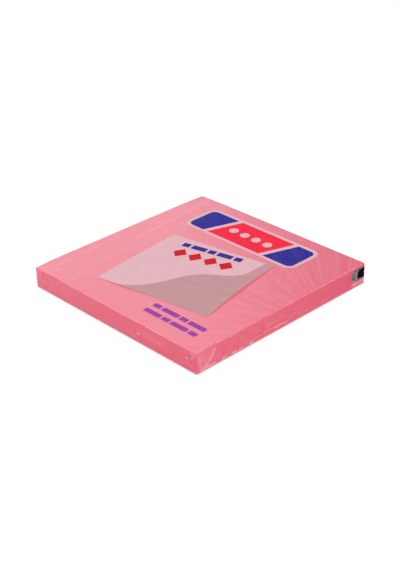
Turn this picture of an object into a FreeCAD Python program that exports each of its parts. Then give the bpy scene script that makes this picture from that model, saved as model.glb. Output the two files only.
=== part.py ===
import FreeCAD, Part

import os

import Sketcher

# Sticky note pad in printed shrink film.
# Millimetres, +Z up. The origin is the middle of the footprint, on the table.
# X runs along the printed lines, Y from the reader's side to the far side.
# The pad's left and near edges are at minus half a note, and printed places are measured from them.

# Driving sizes: alias, value, meaning
SIZES = [
    ("note_width", 76.0, "one note, left to right"),
    ("note_depth", 76.0, "one note, near to far"),
    ("note_count", 80, "notes in the block"),
    ("note_thickness", 0.089, "one note's paper"),
    ("backing_thickness", 0.12, "release sheet under the last note"),
    ("block_corner_radius", 0.8, "paper corners, pressed round by the film"),
    ("block_edge_radius", 0.25, "top edge of the block, pressed round by the film"),
    ("side_clearance", 0.02, "between paper and film, all round"),
    ("top_clearance", 0.01, "between the top note and the film"),
    ("film_thickness", 0.05, "shrink film"),
    ("seal_height", 1.7, "middle of the seal, above the table"),
    ("seal_fin_height", 0.14, "trimmed seal, top to bottom"),
    ("seal_fin_width", 0.12, "how far the trimmed seal stands out"),
    ("ink_thickness", 0.02, "one printed layer on the top"),
    ("side_ink_thickness", 0.03, "one printed layer on the sides"),
    ("note_bar_right", 7.0, "right end of the two lowest rows, from the right edge"),
    ("note_bar_near", 5.9, "lowest row, from the near edge"),
    ("note_bar_height", 1.9, "bars of the two lowest rows"),
    ("note_bar_gap", 0.8, "between bars of the two lowest rows"),
    ("note_row_gap", 1.9, "between the two lowest rows"),
    ("note_short_bar", 3.1, "short bar of the two lowest rows"),
    ("note_long_bar", 7.0, "long bar of the two lowest rows"),
    ("banner_left", 11.4, "banner, from the left edge"),
    ("banner_far", 4.8, "banner, from the far edge"),
    ("banner_right", 14.1, "banner, from the right edge"),
    ("banner_height", 15.8, "banner, along Y"),
    ("banner_corner_radius", 3.6, "banner corners"),
    ("banner_border", 1.4, "pale border round the banner"),
    ("banner_end_width", 7.6, "banner's end fields, along their narrow side"),
    ("banner_gap", 1.9, "pale stripes between the banner's fields"),
    ("banner_lean", 4.6, "how far the banner's stripes lean to the right"),
    ("disc_count", 4, "discs in the middle field"),
    ("disc_diameter", 3.4, "one disc"),
    ("disc_pitch", 5.2, "between disc centres"),
    ("figure_left", 20.0, "printed sheet's near left corner, from the left edge"),
    ("figure_right", 12.3, "printed sheet's near right corner, from the right edge"),
    ("figure_bottom_rise", 7.0, "how far its near edge climbs to the right"),
    ("figure_bar_gap", 2.3, "between its near edge and the lowest rows"),
    ("figure_left_lean", 4.3, "how far its left edge leans to the left"),
    ("figure_right_lean", 7.4, "how far its right edge leans to the left"),
    ("figure_banner_gap", 0.7, "between its far right tip and the banner"),
    ("figure_top_rise", 6.0, "how far its far edge climbs up to the curl"),
    ("figure_right_radius", 185.0, "its hollow right edge"),
    ("curl_tip_run", 3.0, "curl's tip, right of the end of the far edge"),
    ("curl_tip_rise", 1.4, "curl's tip, beyond the end of the far edge"),
    ("curl_neck_drop", 8.6, "straight top of the curl's inner edge"),
    ("curl_foot_run", 6.7, "curl's foot on the near edge, from the near left corner"),
    ("curl_bend_across", 0.4, "share of the way across, neck to foot, where the curl bends"),
    ("curl_bend_down", 0.335, "share of the way down, neck to foot, where the curl bends"),
    ("curl_waist_across", 0.603, "share of the way across at the curl's waist"),
    ("curl_waist_down", 0.69, "share of the way down at the curl's waist"),
    ("shadow_drop", 0.7, "printed shadow below the near edge"),
    ("title_right", 9.1, "title's frame, right of the printed sheet's far left corner"),
    ("title_down", 12.4, "title's frame, below the printed sheet's far left corner"),
    ("title_tilt", 12.5, "degrees, title rows against X"),
    ("title_margin", 0.8, "title rows in their frame, from its axes"),
    ("title_neck_gap", 5.3, "between the title rows' right end and the curl's neck"),
    ("title_row_gap", 1.5, "between the bold row and the small row"),
    ("lozenge_count", 4, "lozenges in the bold row"),
    ("lozenge_height", 6.0, "one lozenge"),
    ("lozenge_gap", 0.8, "between lozenges"),
    ("title_bar_height", 2.5, "bars of the small row"),
    ("title_bar_gap", 0.9, "between bars of the small row"),
    ("title_short_bar", 2.8, "short bar of the small row"),
    ("mark_patch_drop", 0.9, "pale corner patch, below the film's top"),
    ("mark_patch_rise", 0.5, "pale corner patch, above the seal"),
    ("mark_patch_length", 6.5, "pale corner patch on the right side"),
    ("mark_patch_radius", 0.4, "corners of the pale patch"),
    ("mark_inset", 0.35, "dark mark inside the patch, top and bottom"),
    ("mark_length", 3.8, "dark mark on the right side"),
    ("mark_radius", 1.6, "round end of the dark mark"),
    ("mark_wrap", 3.0, "patch and mark on the far side, past the corner"),
]

doc = FreeCAD.newDocument("NotePad")
sheet = doc.addObject("Spreadsheet::Sheet", "Sizes")
for row, (alias, value, meaning) in enumerate(SIZES, start=1):
    sheet.set(f"A{row}", meaning)
    sheet.set(f"B{row}", str(value))
    sheet.setAlias(f"B{row}", alias)
doc.recompute()

# Worked-out sizes, as expressions of the driving ones
BLOCK_HEIGHT = "Sizes.note_count * Sizes.note_thickness"
WRAP = "(Sizes.side_clearance + Sizes.film_thickness)"
FILM_WIDTH = f"(Sizes.note_width + 2 * {WRAP})"
FILM_DEPTH = f"(Sizes.note_depth + 2 * {WRAP})"
FILM_CORNER = f"(Sizes.block_corner_radius + {WRAP})"
CAVITY_HEIGHT = f"(Sizes.backing_thickness + {BLOCK_HEIGHT} + Sizes.top_clearance)"
FILM_HEIGHT = f"({CAVITY_HEIGHT} + 2 * Sizes.film_thickness)"
LEFT = "-Sizes.note_width / 2"
NEAR = "-Sizes.note_depth / 2"
FIRST_INK = FILM_HEIGHT
SECOND_INK = f"({FILM_HEIGHT} + Sizes.ink_thickness)"
THIRD_INK = f"({FILM_HEIGHT} + 2 * Sizes.ink_thickness)"


def number(expression):
    """The present value of an expression of the sheet's sizes."""
    return float(sheet.evalExpression(expression))


def new_body(label, left="0", near="0", height="0"):
    """An empty body, whose frame stands at the given place."""
    body = doc.addObject("PartDesign::Body", label)
    body.Label = label
    body.setExpression("Placement.Base.x", left)
    body.setExpression("Placement.Base.y", near)
    body.setExpression("Placement.Base.z", height)
    return body


def new_sketch(body, role="XY_Plane"):
    """A sketch on one of the body's own origin planes."""
    sketch = body.newObject("Sketcher::SketchObject", f"{body.Name}_outline")
    plane = next(part for part in body.Origin.OriginFeatures if part.Role == role)
    sketch.AttachmentSupport = [(plane, "")]
    sketch.MapMode = "FlatFace"
    return sketch


def hold(sketch, kind, *target):
    """Add a distance or radius to the sketch, bound to the expression that comes last."""
    expression = target[-1]
    index = sketch.addConstraint(Sketcher.Constraint(kind, *target[:-1], number(expression)))
    sketch.setExpression(f"Constraints[{index}]", expression)


def closed_lines(sketch, points):
    """Draw straight lines from point to point and back to the first, joined at their ends."""
    following = points[1:] + points[:1]
    lines = [
        sketch.addGeometry(Part.LineSegment(start, end))
        for start, end in zip(points, following)
    ]
    for line, after in zip(lines, lines[1:] + lines[:1]):
        sketch.addConstraint(Sketcher.Constraint("Coincident", line, 2, after, 1))
    return lines


def polygon(sketch, corners):
    """Draw a closed outline, each corner held by its distances from the frame's axes."""
    points = [FreeCAD.Vector(number(x), number(y), 0) for x, y in corners]
    lines = closed_lines(sketch, points)
    for line, (x, y) in zip(lines, corners):
        hold(sketch, "DistanceX", -1, 1, line, 1, x)
        hold(sketch, "DistanceY", -1, 1, line, 1, y)


def centred_rectangle(sketch, width, depth):
    """Draw a rectangle with its middle on the frame's origin."""
    half_x = number(width) / 2
    half_y = number(depth) / 2
    turns = ((-1, -1), (1, -1), (1, 1), (-1, 1))
    points = [FreeCAD.Vector(x * half_x, y * half_y, 0) for x, y in turns]
    lines = closed_lines(sketch, points)
    for line, kind in zip(lines, ("Horizontal", "Vertical") * 2):
        sketch.addConstraint(Sketcher.Constraint(kind, line))
    sketch.addConstraint(Sketcher.Constraint("Symmetric", lines[0], 1, lines[1], 2, -1, 1))
    hold(sketch, "DistanceX", lines[0], 1, lines[0], 2, width)
    hold(sketch, "DistanceY", lines[1], 1, lines[1], 2, depth)


def rectangle(sketch, left, near, width, height):
    """Draw a rectangle from its near left corner."""
    right = f"{left} + {width}"
    far = f"{near} + {height}"
    polygon(sketch, [(left, near), (right, near), (right, far), (left, far)])


def pad(body, sketch, length):
    """Raise the sketch along its normal."""
    feature = body.newObject("PartDesign::Pad", f"{body.Name}_pad")
    feature.Profile = sketch
    feature.setExpression("Length", length)
    body.Tip = feature
    doc.recompute()
    return feature


def fillet(body, base, radius, chosen):
    """Round the edges of base that chosen accepts."""
    names = [
        f"Edge{place}"
        for place, edge in enumerate(base.Shape.Edges, start=1)
        if chosen(edge)
    ]
    feature = body.newObject("PartDesign::Fillet", f"{body.Name}_round")
    feature.Base = (base, names)
    feature.setExpression("Radius", radius)
    body.Tip = feature
    doc.recompute()
    return feature


def spans(edge, axis):
    """Whether a straight edge runs along the axis: 0 for X, 1 for Y, 2 for Z."""
    run = edge.Vertexes[-1].Point - edge.Vertexes[0].Point
    return edge.Curve.TypeId == "Part::GeomLine" and abs(run[axis]) > 0.999 * run.Length


def on_top(edge, height):
    """Whether an edge lies flat at the given height of its body's frame."""
    box = edge.BoundBox
    return box.ZMin > height - 1e-6 and box.ZMax < height + 1e-6


def rounded_block(label, width, depth, height, radius, base="0"):
    """A block with its middle on the origin's axis and round upright corners."""
    body = new_body(label, height=base)
    sketch = new_sketch(body)
    centred_rectangle(sketch, width, depth)
    block = pad(body, sketch, height)
    fillet(body, block, radius, lambda edge: spans(edge, 2))
    return body


def round_top(body, height, radius):
    """Round the top edge of a block all the way."""
    level = number(height)
    return fillet(body, body.Tip, radius, lambda edge: on_top(edge, level))


def boolean(kind, label, base, tool):
    """A Part::Cut, Part::Fuse or Part::Common of two objects."""
    result = doc.addObject(kind, label)
    result.Label = label
    result.Base = base
    result.Tool = tool
    doc.recompute()
    return result


def ink_plate(label, height, draw, left=LEFT, near=NEAR):
    """One printed layer: draw puts its outlines in a sketch on the layer's own level."""
    body = new_body(label, left, near, height)
    sketch = new_sketch(body)
    draw(sketch)
    pad(body, sketch, "Sizes.ink_thickness")
    return body


# Paper


def note_block():
    """The notes, glued one on the next and trimmed together."""
    base = "Sizes.film_thickness + Sizes.backing_thickness"
    body = rounded_block(
        "note_block", "Sizes.note_width", "Sizes.note_depth", BLOCK_HEIGHT,
        "Sizes.block_corner_radius", base,
    )
    round_top(body, BLOCK_HEIGHT, "Sizes.block_edge_radius")
    return body


def backing_sheet():
    """The release sheet that the last note sticks to."""
    return rounded_block(
        "backing_sheet", "Sizes.note_width", "Sizes.note_depth", "Sizes.backing_thickness",
        "Sizes.block_corner_radius", "Sizes.film_thickness",
    )


# Film


def film_wrap():
    """The shrink film: a closed skin round the paper, with its trimmed seal as a fin."""
    outer = rounded_block("film_outside", FILM_WIDTH, FILM_DEPTH, FILM_HEIGHT, FILM_CORNER)
    round_top(outer, FILM_HEIGHT, f"Sizes.block_edge_radius + {WRAP}")
    fin = rounded_block(
        "seal_fin",
        f"{FILM_WIDTH} + 2 * Sizes.seal_fin_width",
        f"{FILM_DEPTH} + 2 * Sizes.seal_fin_width",
        "Sizes.seal_fin_height",
        f"{FILM_CORNER} + Sizes.seal_fin_width",
        "Sizes.seal_height - Sizes.seal_fin_height / 2",
    )
    skin = boolean("Part::Fuse", "film_with_seal", outer, fin)
    cavity = rounded_block(
        "film_cavity",
        "Sizes.note_width + 2 * Sizes.side_clearance",
        "Sizes.note_depth + 2 * Sizes.side_clearance",
        CAVITY_HEIGHT,
        "Sizes.block_corner_radius + Sizes.side_clearance",
        "Sizes.film_thickness",
    )
    round_top(cavity, CAVITY_HEIGHT, "Sizes.block_edge_radius + Sizes.side_clearance")
    return boolean("Part::Cut", "film_wrap", skin, cavity)


# Lowest rows: both are as long as each other

NOTE_ROW = "(2 * (Sizes.note_short_bar + Sizes.note_long_bar) + 3 * Sizes.note_bar_gap)"
NOTE_ROW_LEFT = f"(Sizes.note_width - Sizes.note_bar_right - {NOTE_ROW})"
NOTE_ROW_PITCH = "(Sizes.note_bar_height + Sizes.note_row_gap)"


def draw_bars(sketch, kind, widths, left, near):
    """A row of bars of one kind, title or note, with the widths given left to right."""
    start = left
    for width in widths:
        rectangle(sketch, start, near, width, f"Sizes.{kind}_bar_height")
        start = f"{start} + {width} + Sizes.{kind}_bar_gap"


def draw_note_bars(sketch):
    """Two rows of bars that end at the right margin."""
    short_first = ("Sizes.note_short_bar", "Sizes.note_long_bar") * 2
    for place, widths in enumerate((short_first[::-1], short_first)):
        near = f"Sizes.note_bar_near + {place} * {NOTE_ROW_PITCH}"
        draw_bars(sketch, "note", widths, NOTE_ROW_LEFT, near)


# Printed sheet: it fills what the lowest rows and the banner leave.
# Its near, left and far edges are straight and its right edge is hollow.

BANNER_NEAR = "(Sizes.note_depth - Sizes.banner_far - Sizes.banner_height)"
FIGURE_RUN = "(Sizes.note_width - Sizes.figure_right - Sizes.figure_left)"
FIGURE_SLOPE = f"(Sizes.figure_bottom_rise / {FIGURE_RUN})"
FIGURE_NEAR = (
    f"(Sizes.note_bar_near + {NOTE_ROW_PITCH} + Sizes.note_bar_height + Sizes.figure_bar_gap"
    f" - {FIGURE_SLOPE} * ({NOTE_ROW_LEFT} - Sizes.figure_left))"
)
FIGURE_FAR_X = "(Sizes.figure_left - Sizes.figure_left_lean)"
TIP_X = "(Sizes.note_width - Sizes.figure_right - Sizes.figure_right_lean)"
TIP_Y = f"({BANNER_NEAR} - Sizes.figure_banner_gap)"
NECK_X = f"({TIP_X} - Sizes.curl_tip_run)"
NECK_Y = f"({TIP_Y} - Sizes.curl_tip_rise)"
FIGURE_FAR_Y = f"({NECK_Y} - Sizes.figure_top_rise)"
FIGURE_CORNERS = [
    ("Sizes.figure_left", FIGURE_NEAR),
    ("Sizes.note_width - Sizes.figure_right", f"{FIGURE_NEAR} + Sizes.figure_bottom_rise"),
    (TIP_X, TIP_Y),
    (NECK_X, NECK_Y),
    (FIGURE_FAR_X, FIGURE_FAR_Y),
]


def corner(x, y):
    """A point from its two expressions."""
    return FreeCAD.Vector(number(x), number(y), 0)


def figure_corners():
    """The printed sheet's corners: near left, near right, tip, neck, far left."""
    return [corner(x, y) for x, y in FIGURE_CORNERS]


def hollow_arc(start, end, radius):
    """The arc from start to end that bulges to the left of the pad."""
    middle = (start + end) / 2
    chord = end - start
    inward = FreeCAD.Vector(-chord.y, chord.x, 0).normalize()
    half = chord.Length / 2
    sag = radius - (radius**2 - half**2) ** 0.5
    return Part.Arc(start, middle + inward * sag, end)


def flat_solid(label, curves, height):
    """A printed layer whose outline has free curves, laid on its own level."""
    wire = Part.Wire([curve.toShape() for curve in curves])
    feature = doc.addObject("Part::Feature", label)
    feature.Label = label
    thickness = number("Sizes.ink_thickness")
    feature.Shape = Part.Face(wire).extrude(FreeCAD.Vector(0, 0, thickness))
    place = FreeCAD.Vector(number(LEFT), number(NEAR), number(height))
    feature.Placement = FreeCAD.Placement(place, FreeCAD.Rotation())
    return feature


def figure_right_edge():
    """The hollow right edge, near end first."""
    _, near_right, tip, _, _ = figure_corners()
    return hollow_arc(near_right, tip, number("Sizes.figure_right_radius"))


def print_sheet():
    """The pale printed sheet."""
    near_left, near_right, tip, neck, far_left = figure_corners()
    outline = [
        Part.LineSegment(near_left, near_right),
        figure_right_edge(),
        Part.LineSegment(tip, neck),
        Part.LineSegment(neck, far_left),
        Part.LineSegment(far_left, near_left),
    ]
    return flat_solid("print_sheet", outline, FIRST_INK)


def print_sheet_curl():
    """The shaded side of the printed sheet, right of a soft double bend from neck to foot."""
    near_left, near_right, tip, neck, _ = figure_corners()
    slope = number(FIGURE_SLOPE)
    foot_run = number("Sizes.curl_foot_run")
    foot = near_left + FreeCAD.Vector(foot_run, foot_run * slope, 0)
    top = neck - FreeCAD.Vector(0, number("Sizes.curl_neck_drop"), 0)

    def between(name):
        """A point of the bend, from its shares of the way across and down."""
        across = number(f"Sizes.curl_{name}_across")
        down = number(f"Sizes.curl_{name}_down")
        return FreeCAD.Vector(top.x + across * (foot.x - top.x), top.y + down * (foot.y - top.y), 0)

    inner = Part.BSplineCurve()
    inner.interpolate(
        Points=[top, between("bend"), between("waist"), foot],
        InitialTangent=FreeCAD.Vector(0, -1, 0),
        FinalTangent=FreeCAD.Vector(-1, -slope, 0),
    )
    outline = [
        Part.LineSegment(neck, top),
        inner,
        Part.LineSegment(foot, near_right),
        figure_right_edge(),
        Part.LineSegment(tip, neck),
    ]
    return flat_solid("print_sheet_curl", outline, SECOND_INK)


def print_sheet_shadow(figure):
    """The printed shadow: a straight right edge and a bowed near edge, less the sheet itself."""
    near_left, near_right, tip, neck, far_left = figure_corners()
    lowest = (near_left + near_right) / 2 - FreeCAD.Vector(0, number("Sizes.shadow_drop"), 0)
    outline = [
        Part.Arc(near_left, lowest, near_right),
        Part.LineSegment(near_right, tip),
        Part.LineSegment(tip, neck),
        Part.LineSegment(neck, far_left),
        Part.LineSegment(far_left, near_left),
    ]
    plate = flat_solid("shadow_plate", outline, FIRST_INK)
    return boolean("Part::Cut", "print_sheet_shadow", plate, figure)


# Title rows, in a frame of their own that is turned by the title's tilt.
# Lozenges and long bars share out the room up to the curl's neck.

TITLE_ROW = f"({NECK_X} - {FIGURE_FAR_X} - Sizes.title_right - Sizes.title_neck_gap)"
LOZENGE_GAPS = "(Sizes.lozenge_count - 1) * Sizes.lozenge_gap"
LOZENGE_WIDTH = f"(({TITLE_ROW} - {LOZENGE_GAPS}) / Sizes.lozenge_count)"
SHORT_BARS = "(3 * Sizes.title_short_bar + 4 * Sizes.title_bar_gap)"
TITLE_LONG_BAR = f"(({TITLE_ROW} - {SHORT_BARS}) / 2)"


def title_plate(label, draw):
    """A printed layer in the title's own frame, on the printed sheet."""
    left = f"{LEFT} + {FIGURE_FAR_X} + Sizes.title_right"
    near = f"{NEAR} + {FIGURE_FAR_Y} - Sizes.title_down"
    body = ink_plate(label, SECOND_INK, draw, left, near)
    body.Placement.Rotation = FreeCAD.Rotation(FreeCAD.Vector(0, 0, 1), 1)
    body.setExpression("Placement.Rotation.Angle", "Sizes.title_tilt * 1 deg")
    return body


def draw_lozenges(sketch):
    """A row of lozenges, point up."""
    half = f"{LOZENGE_WIDTH} / 2"
    pitch = f"({LOZENGE_WIDTH} + Sizes.lozenge_gap)"
    level = "Sizes.title_margin + Sizes.lozenge_height / 2"
    for place in range(round(number("Sizes.lozenge_count"))):
        middle = f"Sizes.title_margin + {half} + {place} * {pitch}"
        polygon(sketch, [
            (middle, "Sizes.title_margin"),
            (f"{middle} + {half}", level),
            (middle, "Sizes.title_margin + Sizes.lozenge_height"),
            (f"{middle} - {half}", level),
        ])


def draw_title_bars(sketch):
    """The small row over the lozenges."""
    near = "Sizes.title_margin + Sizes.lozenge_height + Sizes.title_row_gap"
    short = "Sizes.title_short_bar"
    widths = (short, TITLE_LONG_BAR, short, TITLE_LONG_BAR, short)
    draw_bars(sketch, "title", widths, "Sizes.title_margin", near)


# Banner: a pale ground with two end fields and a middle field, all cut on the same lean

BANNER_WIDTH = "(Sizes.note_width - Sizes.banner_left - Sizes.banner_right)"
FIELD_LEFT = "(Sizes.banner_left + Sizes.banner_border)"
FIELD_RIGHT = f"(Sizes.banner_left + {BANNER_WIDTH} - Sizes.banner_border)"
FIELD_NEAR = f"({BANNER_NEAR} + Sizes.banner_border)"
FIELD_FAR = f"({BANNER_NEAR} + Sizes.banner_height - Sizes.banner_border)"


def banner_ground():
    """The banner's pale ground with round corners."""

    def draw(sketch):
        rectangle(sketch, "Sizes.banner_left", BANNER_NEAR, BANNER_WIDTH, "Sizes.banner_height")

    body = ink_plate("print_banner_ground", FIRST_INK, draw)
    fillet(body, body.Tip, "Sizes.banner_corner_radius", lambda edge: spans(edge, 2))
    return body


def banner_ends():
    """The two end fields: square to the border outside, on the lean inside."""

    def draw(sketch):
        polygon(sketch, [
            (FIELD_LEFT, FIELD_NEAR),
            (f"{FIELD_LEFT} + Sizes.banner_end_width", FIELD_NEAR),
            (f"{FIELD_LEFT} + Sizes.banner_end_width + Sizes.banner_lean", FIELD_FAR),
            (FIELD_LEFT, FIELD_FAR),
        ])
        polygon(sketch, [
            (f"{FIELD_RIGHT} - Sizes.banner_end_width - Sizes.banner_lean", FIELD_NEAR),
            (FIELD_RIGHT, FIELD_NEAR),
            (FIELD_RIGHT, FIELD_FAR),
            (f"{FIELD_RIGHT} - Sizes.banner_end_width", FIELD_FAR),
        ])

    body = ink_plate("print_banner_ends", SECOND_INK, draw)
    limits = (number(FIELD_LEFT), number(FIELD_RIGHT))

    def at_the_border(edge):
        x = edge.BoundBox.Center.x
        return spans(edge, 2) and min(abs(x - limit) for limit in limits) < 1e-6

    radius = "Sizes.banner_corner_radius - Sizes.banner_border"
    fillet(body, body.Tip, radius, at_the_border)
    return body


def draw_banner_middle(sketch):
    """The middle field between the two pale stripes."""
    inset = "Sizes.banner_end_width + Sizes.banner_gap"
    polygon(sketch, [
        (f"{FIELD_LEFT} + {inset}", FIELD_NEAR),
        (f"{FIELD_RIGHT} - ({inset}) - Sizes.banner_lean", FIELD_NEAR),
        (f"{FIELD_RIGHT} - ({inset})", FIELD_FAR),
        (f"{FIELD_LEFT} + {inset} + Sizes.banner_lean", FIELD_FAR),
    ])


def draw_discs(sketch):
    """A row of discs in the middle of the banner."""
    count = round(number("Sizes.disc_count"))
    level = f"{BANNER_NEAR} + Sizes.banner_height / 2"
    middle = f"Sizes.banner_left + {BANNER_WIDTH} / 2"
    for place in range(count):
        across = f"{middle} + {place - (count - 1) / 2} * Sizes.disc_pitch"
        centre = corner(across, level)
        radius = number("Sizes.disc_diameter") / 2
        disc = sketch.addGeometry(Part.Circle(centre, FreeCAD.Vector(0, 0, 1), radius))
        hold(sketch, "DistanceX", -1, 1, disc, 3, across)
        hold(sketch, "DistanceY", -1, 1, disc, 3, level)
        hold(sketch, "Diameter", disc, "Sizes.disc_diameter")


# Corner mark: two layers that bend round the film's far right corner

PATCH_BASE = "(Sizes.seal_height + Sizes.seal_fin_height / 2 + Sizes.mark_patch_rise)"
PATCH_HEIGHT = f"({FILM_HEIGHT} - Sizes.mark_patch_drop - {PATCH_BASE})"
MARK_HEIGHT = f"({PATCH_HEIGHT} - 2 * Sizes.mark_inset)"
WINDOW_LEFT = f"({FILM_WIDTH} / 2 - Sizes.mark_wrap)"
SIDE_REACH = "2 * Sizes.side_ink_thickness"


def side_layer(label, layers, window):
    """One side layer: the skin between two rounded blocks, inside a window."""
    blocks = []
    for place in (layers, layers - 1):
        grow = f"{place} * Sizes.side_ink_thickness"
        blocks.append(rounded_block(
            f"{label}_block_{place}",
            f"{FILM_WIDTH} + 2 * {grow}",
            f"{FILM_DEPTH} + 2 * {grow}",
            PATCH_HEIGHT,
            f"{FILM_CORNER} + {grow}",
            PATCH_BASE,
        ))
    skin = boolean("Part::Cut", f"{label}_skin", blocks[0], blocks[1])
    return boolean("Part::Common", label, skin, window)


def corner_window(label, length, base, height, radius):
    """A bar along X through the far right corner, with round left ends as seen on the right side."""
    body = new_body(label, WINDOW_LEFT, "0", "0")
    sketch = new_sketch(body, "YZ_Plane")
    near = f"{FILM_DEPTH} / 2 - {length}"
    rectangle(sketch, near, base, f"{length} + {SIDE_REACH}", height)
    bar = pad(body, sketch, f"Sizes.mark_wrap + {SIDE_REACH}")
    start = number(near)

    def at_the_left(edge):
        return spans(edge, 0) and abs(edge.BoundBox.Center.y - start) < 1e-6

    fillet(body, bar, f"min({radius}; 0.49 * {height})", at_the_left)
    return body


def corner_patch():
    """The pale patch under the corner mark."""
    window = corner_window(
        "patch_window", "Sizes.mark_patch_length", PATCH_BASE, PATCH_HEIGHT,
        "Sizes.mark_patch_radius",
    )
    return side_layer("print_corner_patch", 1, window)


def corner_mark():
    """The dark mark, with a round end."""
    window = corner_window(
        "mark_window", "Sizes.mark_length", f"{PATCH_BASE} + Sizes.mark_inset", MARK_HEIGHT,
        "Sizes.mark_radius",
    )
    return side_layer("print_corner_mark", 2, window)


def build():
    """Make every piece and return those that are written."""
    figure = print_sheet()
    return [
        note_block(),
        backing_sheet(),
        film_wrap(),
        figure,
        print_sheet_curl(),
        print_sheet_shadow(figure),
        title_plate("print_title_lozenges", draw_lozenges),
        title_plate("print_title_bars", draw_title_bars),
        ink_plate("print_note_bars", FIRST_INK, draw_note_bars),
        banner_ground(),
        banner_ends(),
        ink_plate("print_banner_middle", SECOND_INK, draw_banner_middle),
        ink_plate("print_banner_discs", THIRD_INK, draw_discs),
        corner_patch(),
        corner_mark(),
    ]


def check(pieces):
    """Stop if anything in the document failed or a piece isn't sound."""
    for item in doc.Objects:
        if {"Invalid", "Error"} & set(item.State):
            raise RuntimeError(f"{item.Label} did not recompute: {item.State}")
    for piece in pieces:
        if piece.Shape.isNull() or not piece.Shape.isValid() or not piece.Shape.Solids:
            raise RuntimeError(f"{piece.Label} has no valid solid")


pieces = build()
doc.recompute()
check(pieces)
os.makedirs("parts", exist_ok=True)
for piece in pieces:
    piece.Shape.exportStep(f"parts/{piece.Label}.step")
    print(f"{piece.Label}: {len(piece.Shape.Solids)} solid(s), {piece.Shape.Volume:.4f} mm3")
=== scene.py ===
"""Looks of a sealed pad of square sticky notes.

A cut stack of pink notes lies on its release sheet. Clear shrink film closes round both, drawn down
over the corners, and carries a plain printed design. Sizes are in millimetres and become metres when
a mesh is made. X runs along the print, Y from the reader's side to the far side, Z up.
"""
import logging
import math
from dataclasses import dataclass, field
from enum import Enum
from typing import Callable

import bpy
import numpy as np
from mathutils import Matrix, Vector


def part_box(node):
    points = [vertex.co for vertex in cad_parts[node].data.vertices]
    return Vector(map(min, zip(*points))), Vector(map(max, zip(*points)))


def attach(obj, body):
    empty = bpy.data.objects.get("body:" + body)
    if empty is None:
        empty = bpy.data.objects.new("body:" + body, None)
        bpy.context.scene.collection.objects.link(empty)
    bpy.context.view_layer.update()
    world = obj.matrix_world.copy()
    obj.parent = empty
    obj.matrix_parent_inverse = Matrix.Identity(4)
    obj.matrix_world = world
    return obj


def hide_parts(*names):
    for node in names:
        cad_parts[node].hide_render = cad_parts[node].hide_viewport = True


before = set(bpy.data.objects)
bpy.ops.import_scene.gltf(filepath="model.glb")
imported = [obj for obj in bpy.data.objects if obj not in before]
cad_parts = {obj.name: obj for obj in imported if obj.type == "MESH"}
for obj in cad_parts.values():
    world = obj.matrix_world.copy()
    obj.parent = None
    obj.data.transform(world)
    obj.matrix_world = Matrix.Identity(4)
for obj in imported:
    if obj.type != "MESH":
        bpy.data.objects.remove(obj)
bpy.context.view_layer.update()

Array = np.ndarray
Faces = list[list[int]]
Point = tuple[float, float]
Stretch = tuple[float, float, float]
Place = Callable[[Array, float], Array]

MM = 0.001
BODY = "root"
HAZE = "haze"
SHARP_ANGLE = math.radians(40)
MIX_A, MIX_B, MIX_RESULT = 6, 7, 2  # a Mix node's colour sockets
FILM_OUTSET = 0.07  # from the notes' sides to the film's outer face
RIDGE_ROOM = 0.016  # from the film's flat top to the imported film's, for its ridges

log = logging.getLogger("note_pad")


class Side(Enum):
    """The pad's four sides, counted anticlockwise from the reader's side as seen from above."""

    NEAR = 0
    RIGHT = 1
    FAR = 2
    LEFT = 3


class Layer(Enum):
    """Printed layers, and how far each lies above the film, in millimetres."""

    FIRST = 0.012
    SECOND = 0.028
    THIRD = 0.044


# Shared shape work


def smooth_step(value: Array, low: float, high: float) -> Array:
    """Rise from 0 at low to 1 at high with level ends: 3 t squared less 2 t cubed.

    Args:
        value: Where to read the rise.
        low: Value at which it starts.
        high: Value at which it ends.

    Returns:
        The rise, as an array like value.
    """
    share = np.clip((value - low) / (high - low), 0.0, 1.0)
    return share * share * (3.0 - 2.0 * share)


def bell(distance: Array, width: float) -> Array:
    """A bell curve: e to the minus half the square of distance over width."""
    return np.exp(-0.5 * (distance / width) ** 2)


@dataclass(frozen=True)
class Ripple:
    """A cosine over two places: its turn per unit of the first and second, and per side's number."""

    along: float
    up: float = 0.0
    side: float = 0.0

    def at(self, along: Array, up: Array, side: Array | float = 0.0) -> Array:
        """The cosine, from -1 to 1."""
        return np.cos(self.along * along + self.up * up + self.side * side)


Ripples = tuple[Ripple, Ripple]


def crossed(ripples: Ripples, *places: Array) -> Array:
    """Product of two ripples at the same places."""
    return ripples[0].at(*places) * ripples[1].at(*places)


def from_segment(points: Array, start: Point, end: Point) -> Array:
    """Distance of points from a straight segment: the shortest way to it or to its nearer end.

    Args:
        points: Points in a plane, with two numbers in the last axis.
        start: One end.
        end: The other end.

    Returns:
        The distances.
    """
    run = np.subtract(end, start)
    along = (points - start) @ run / max(float(run @ run), 1e-9)
    nearest = start + np.clip(along, 0.0, 1.0)[..., None] * run
    return np.linalg.norm(points - nearest, axis=-1)


def box_mm(node: str) -> tuple[Array, Array]:
    """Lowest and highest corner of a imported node, in millimetres."""
    low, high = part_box(node)
    return np.array(low) / MM, np.array(high) / MM


def coons(near: Array, right: Array, far: Array, left: Array) -> Array:
    """Surface between four edges: both ruled surfaces added, less the bilinear one of the corners.

    Args:
        near: Edge from the first corner along the first parameter.
        right: Edge from the end of near along the second parameter.
        far: Edge opposite near, in the same direction.
        left: Edge opposite right, in the same direction.

    Returns:
        Points on the grid of both parameters.
    """
    u = np.linspace(0.0, 1.0, len(near))[:, None, None]
    v = np.linspace(0.0, 1.0, len(left))[None, :, None]
    ruled = (1 - v) * near[:, None] + v * far[:, None] + (1 - u) * left[None] + u * right[None]
    low = (1 - u) * near[0] + u * near[-1]
    high = (1 - u) * far[0] + u * far[-1]
    return ruled - (1 - v) * low - v * high


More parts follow.
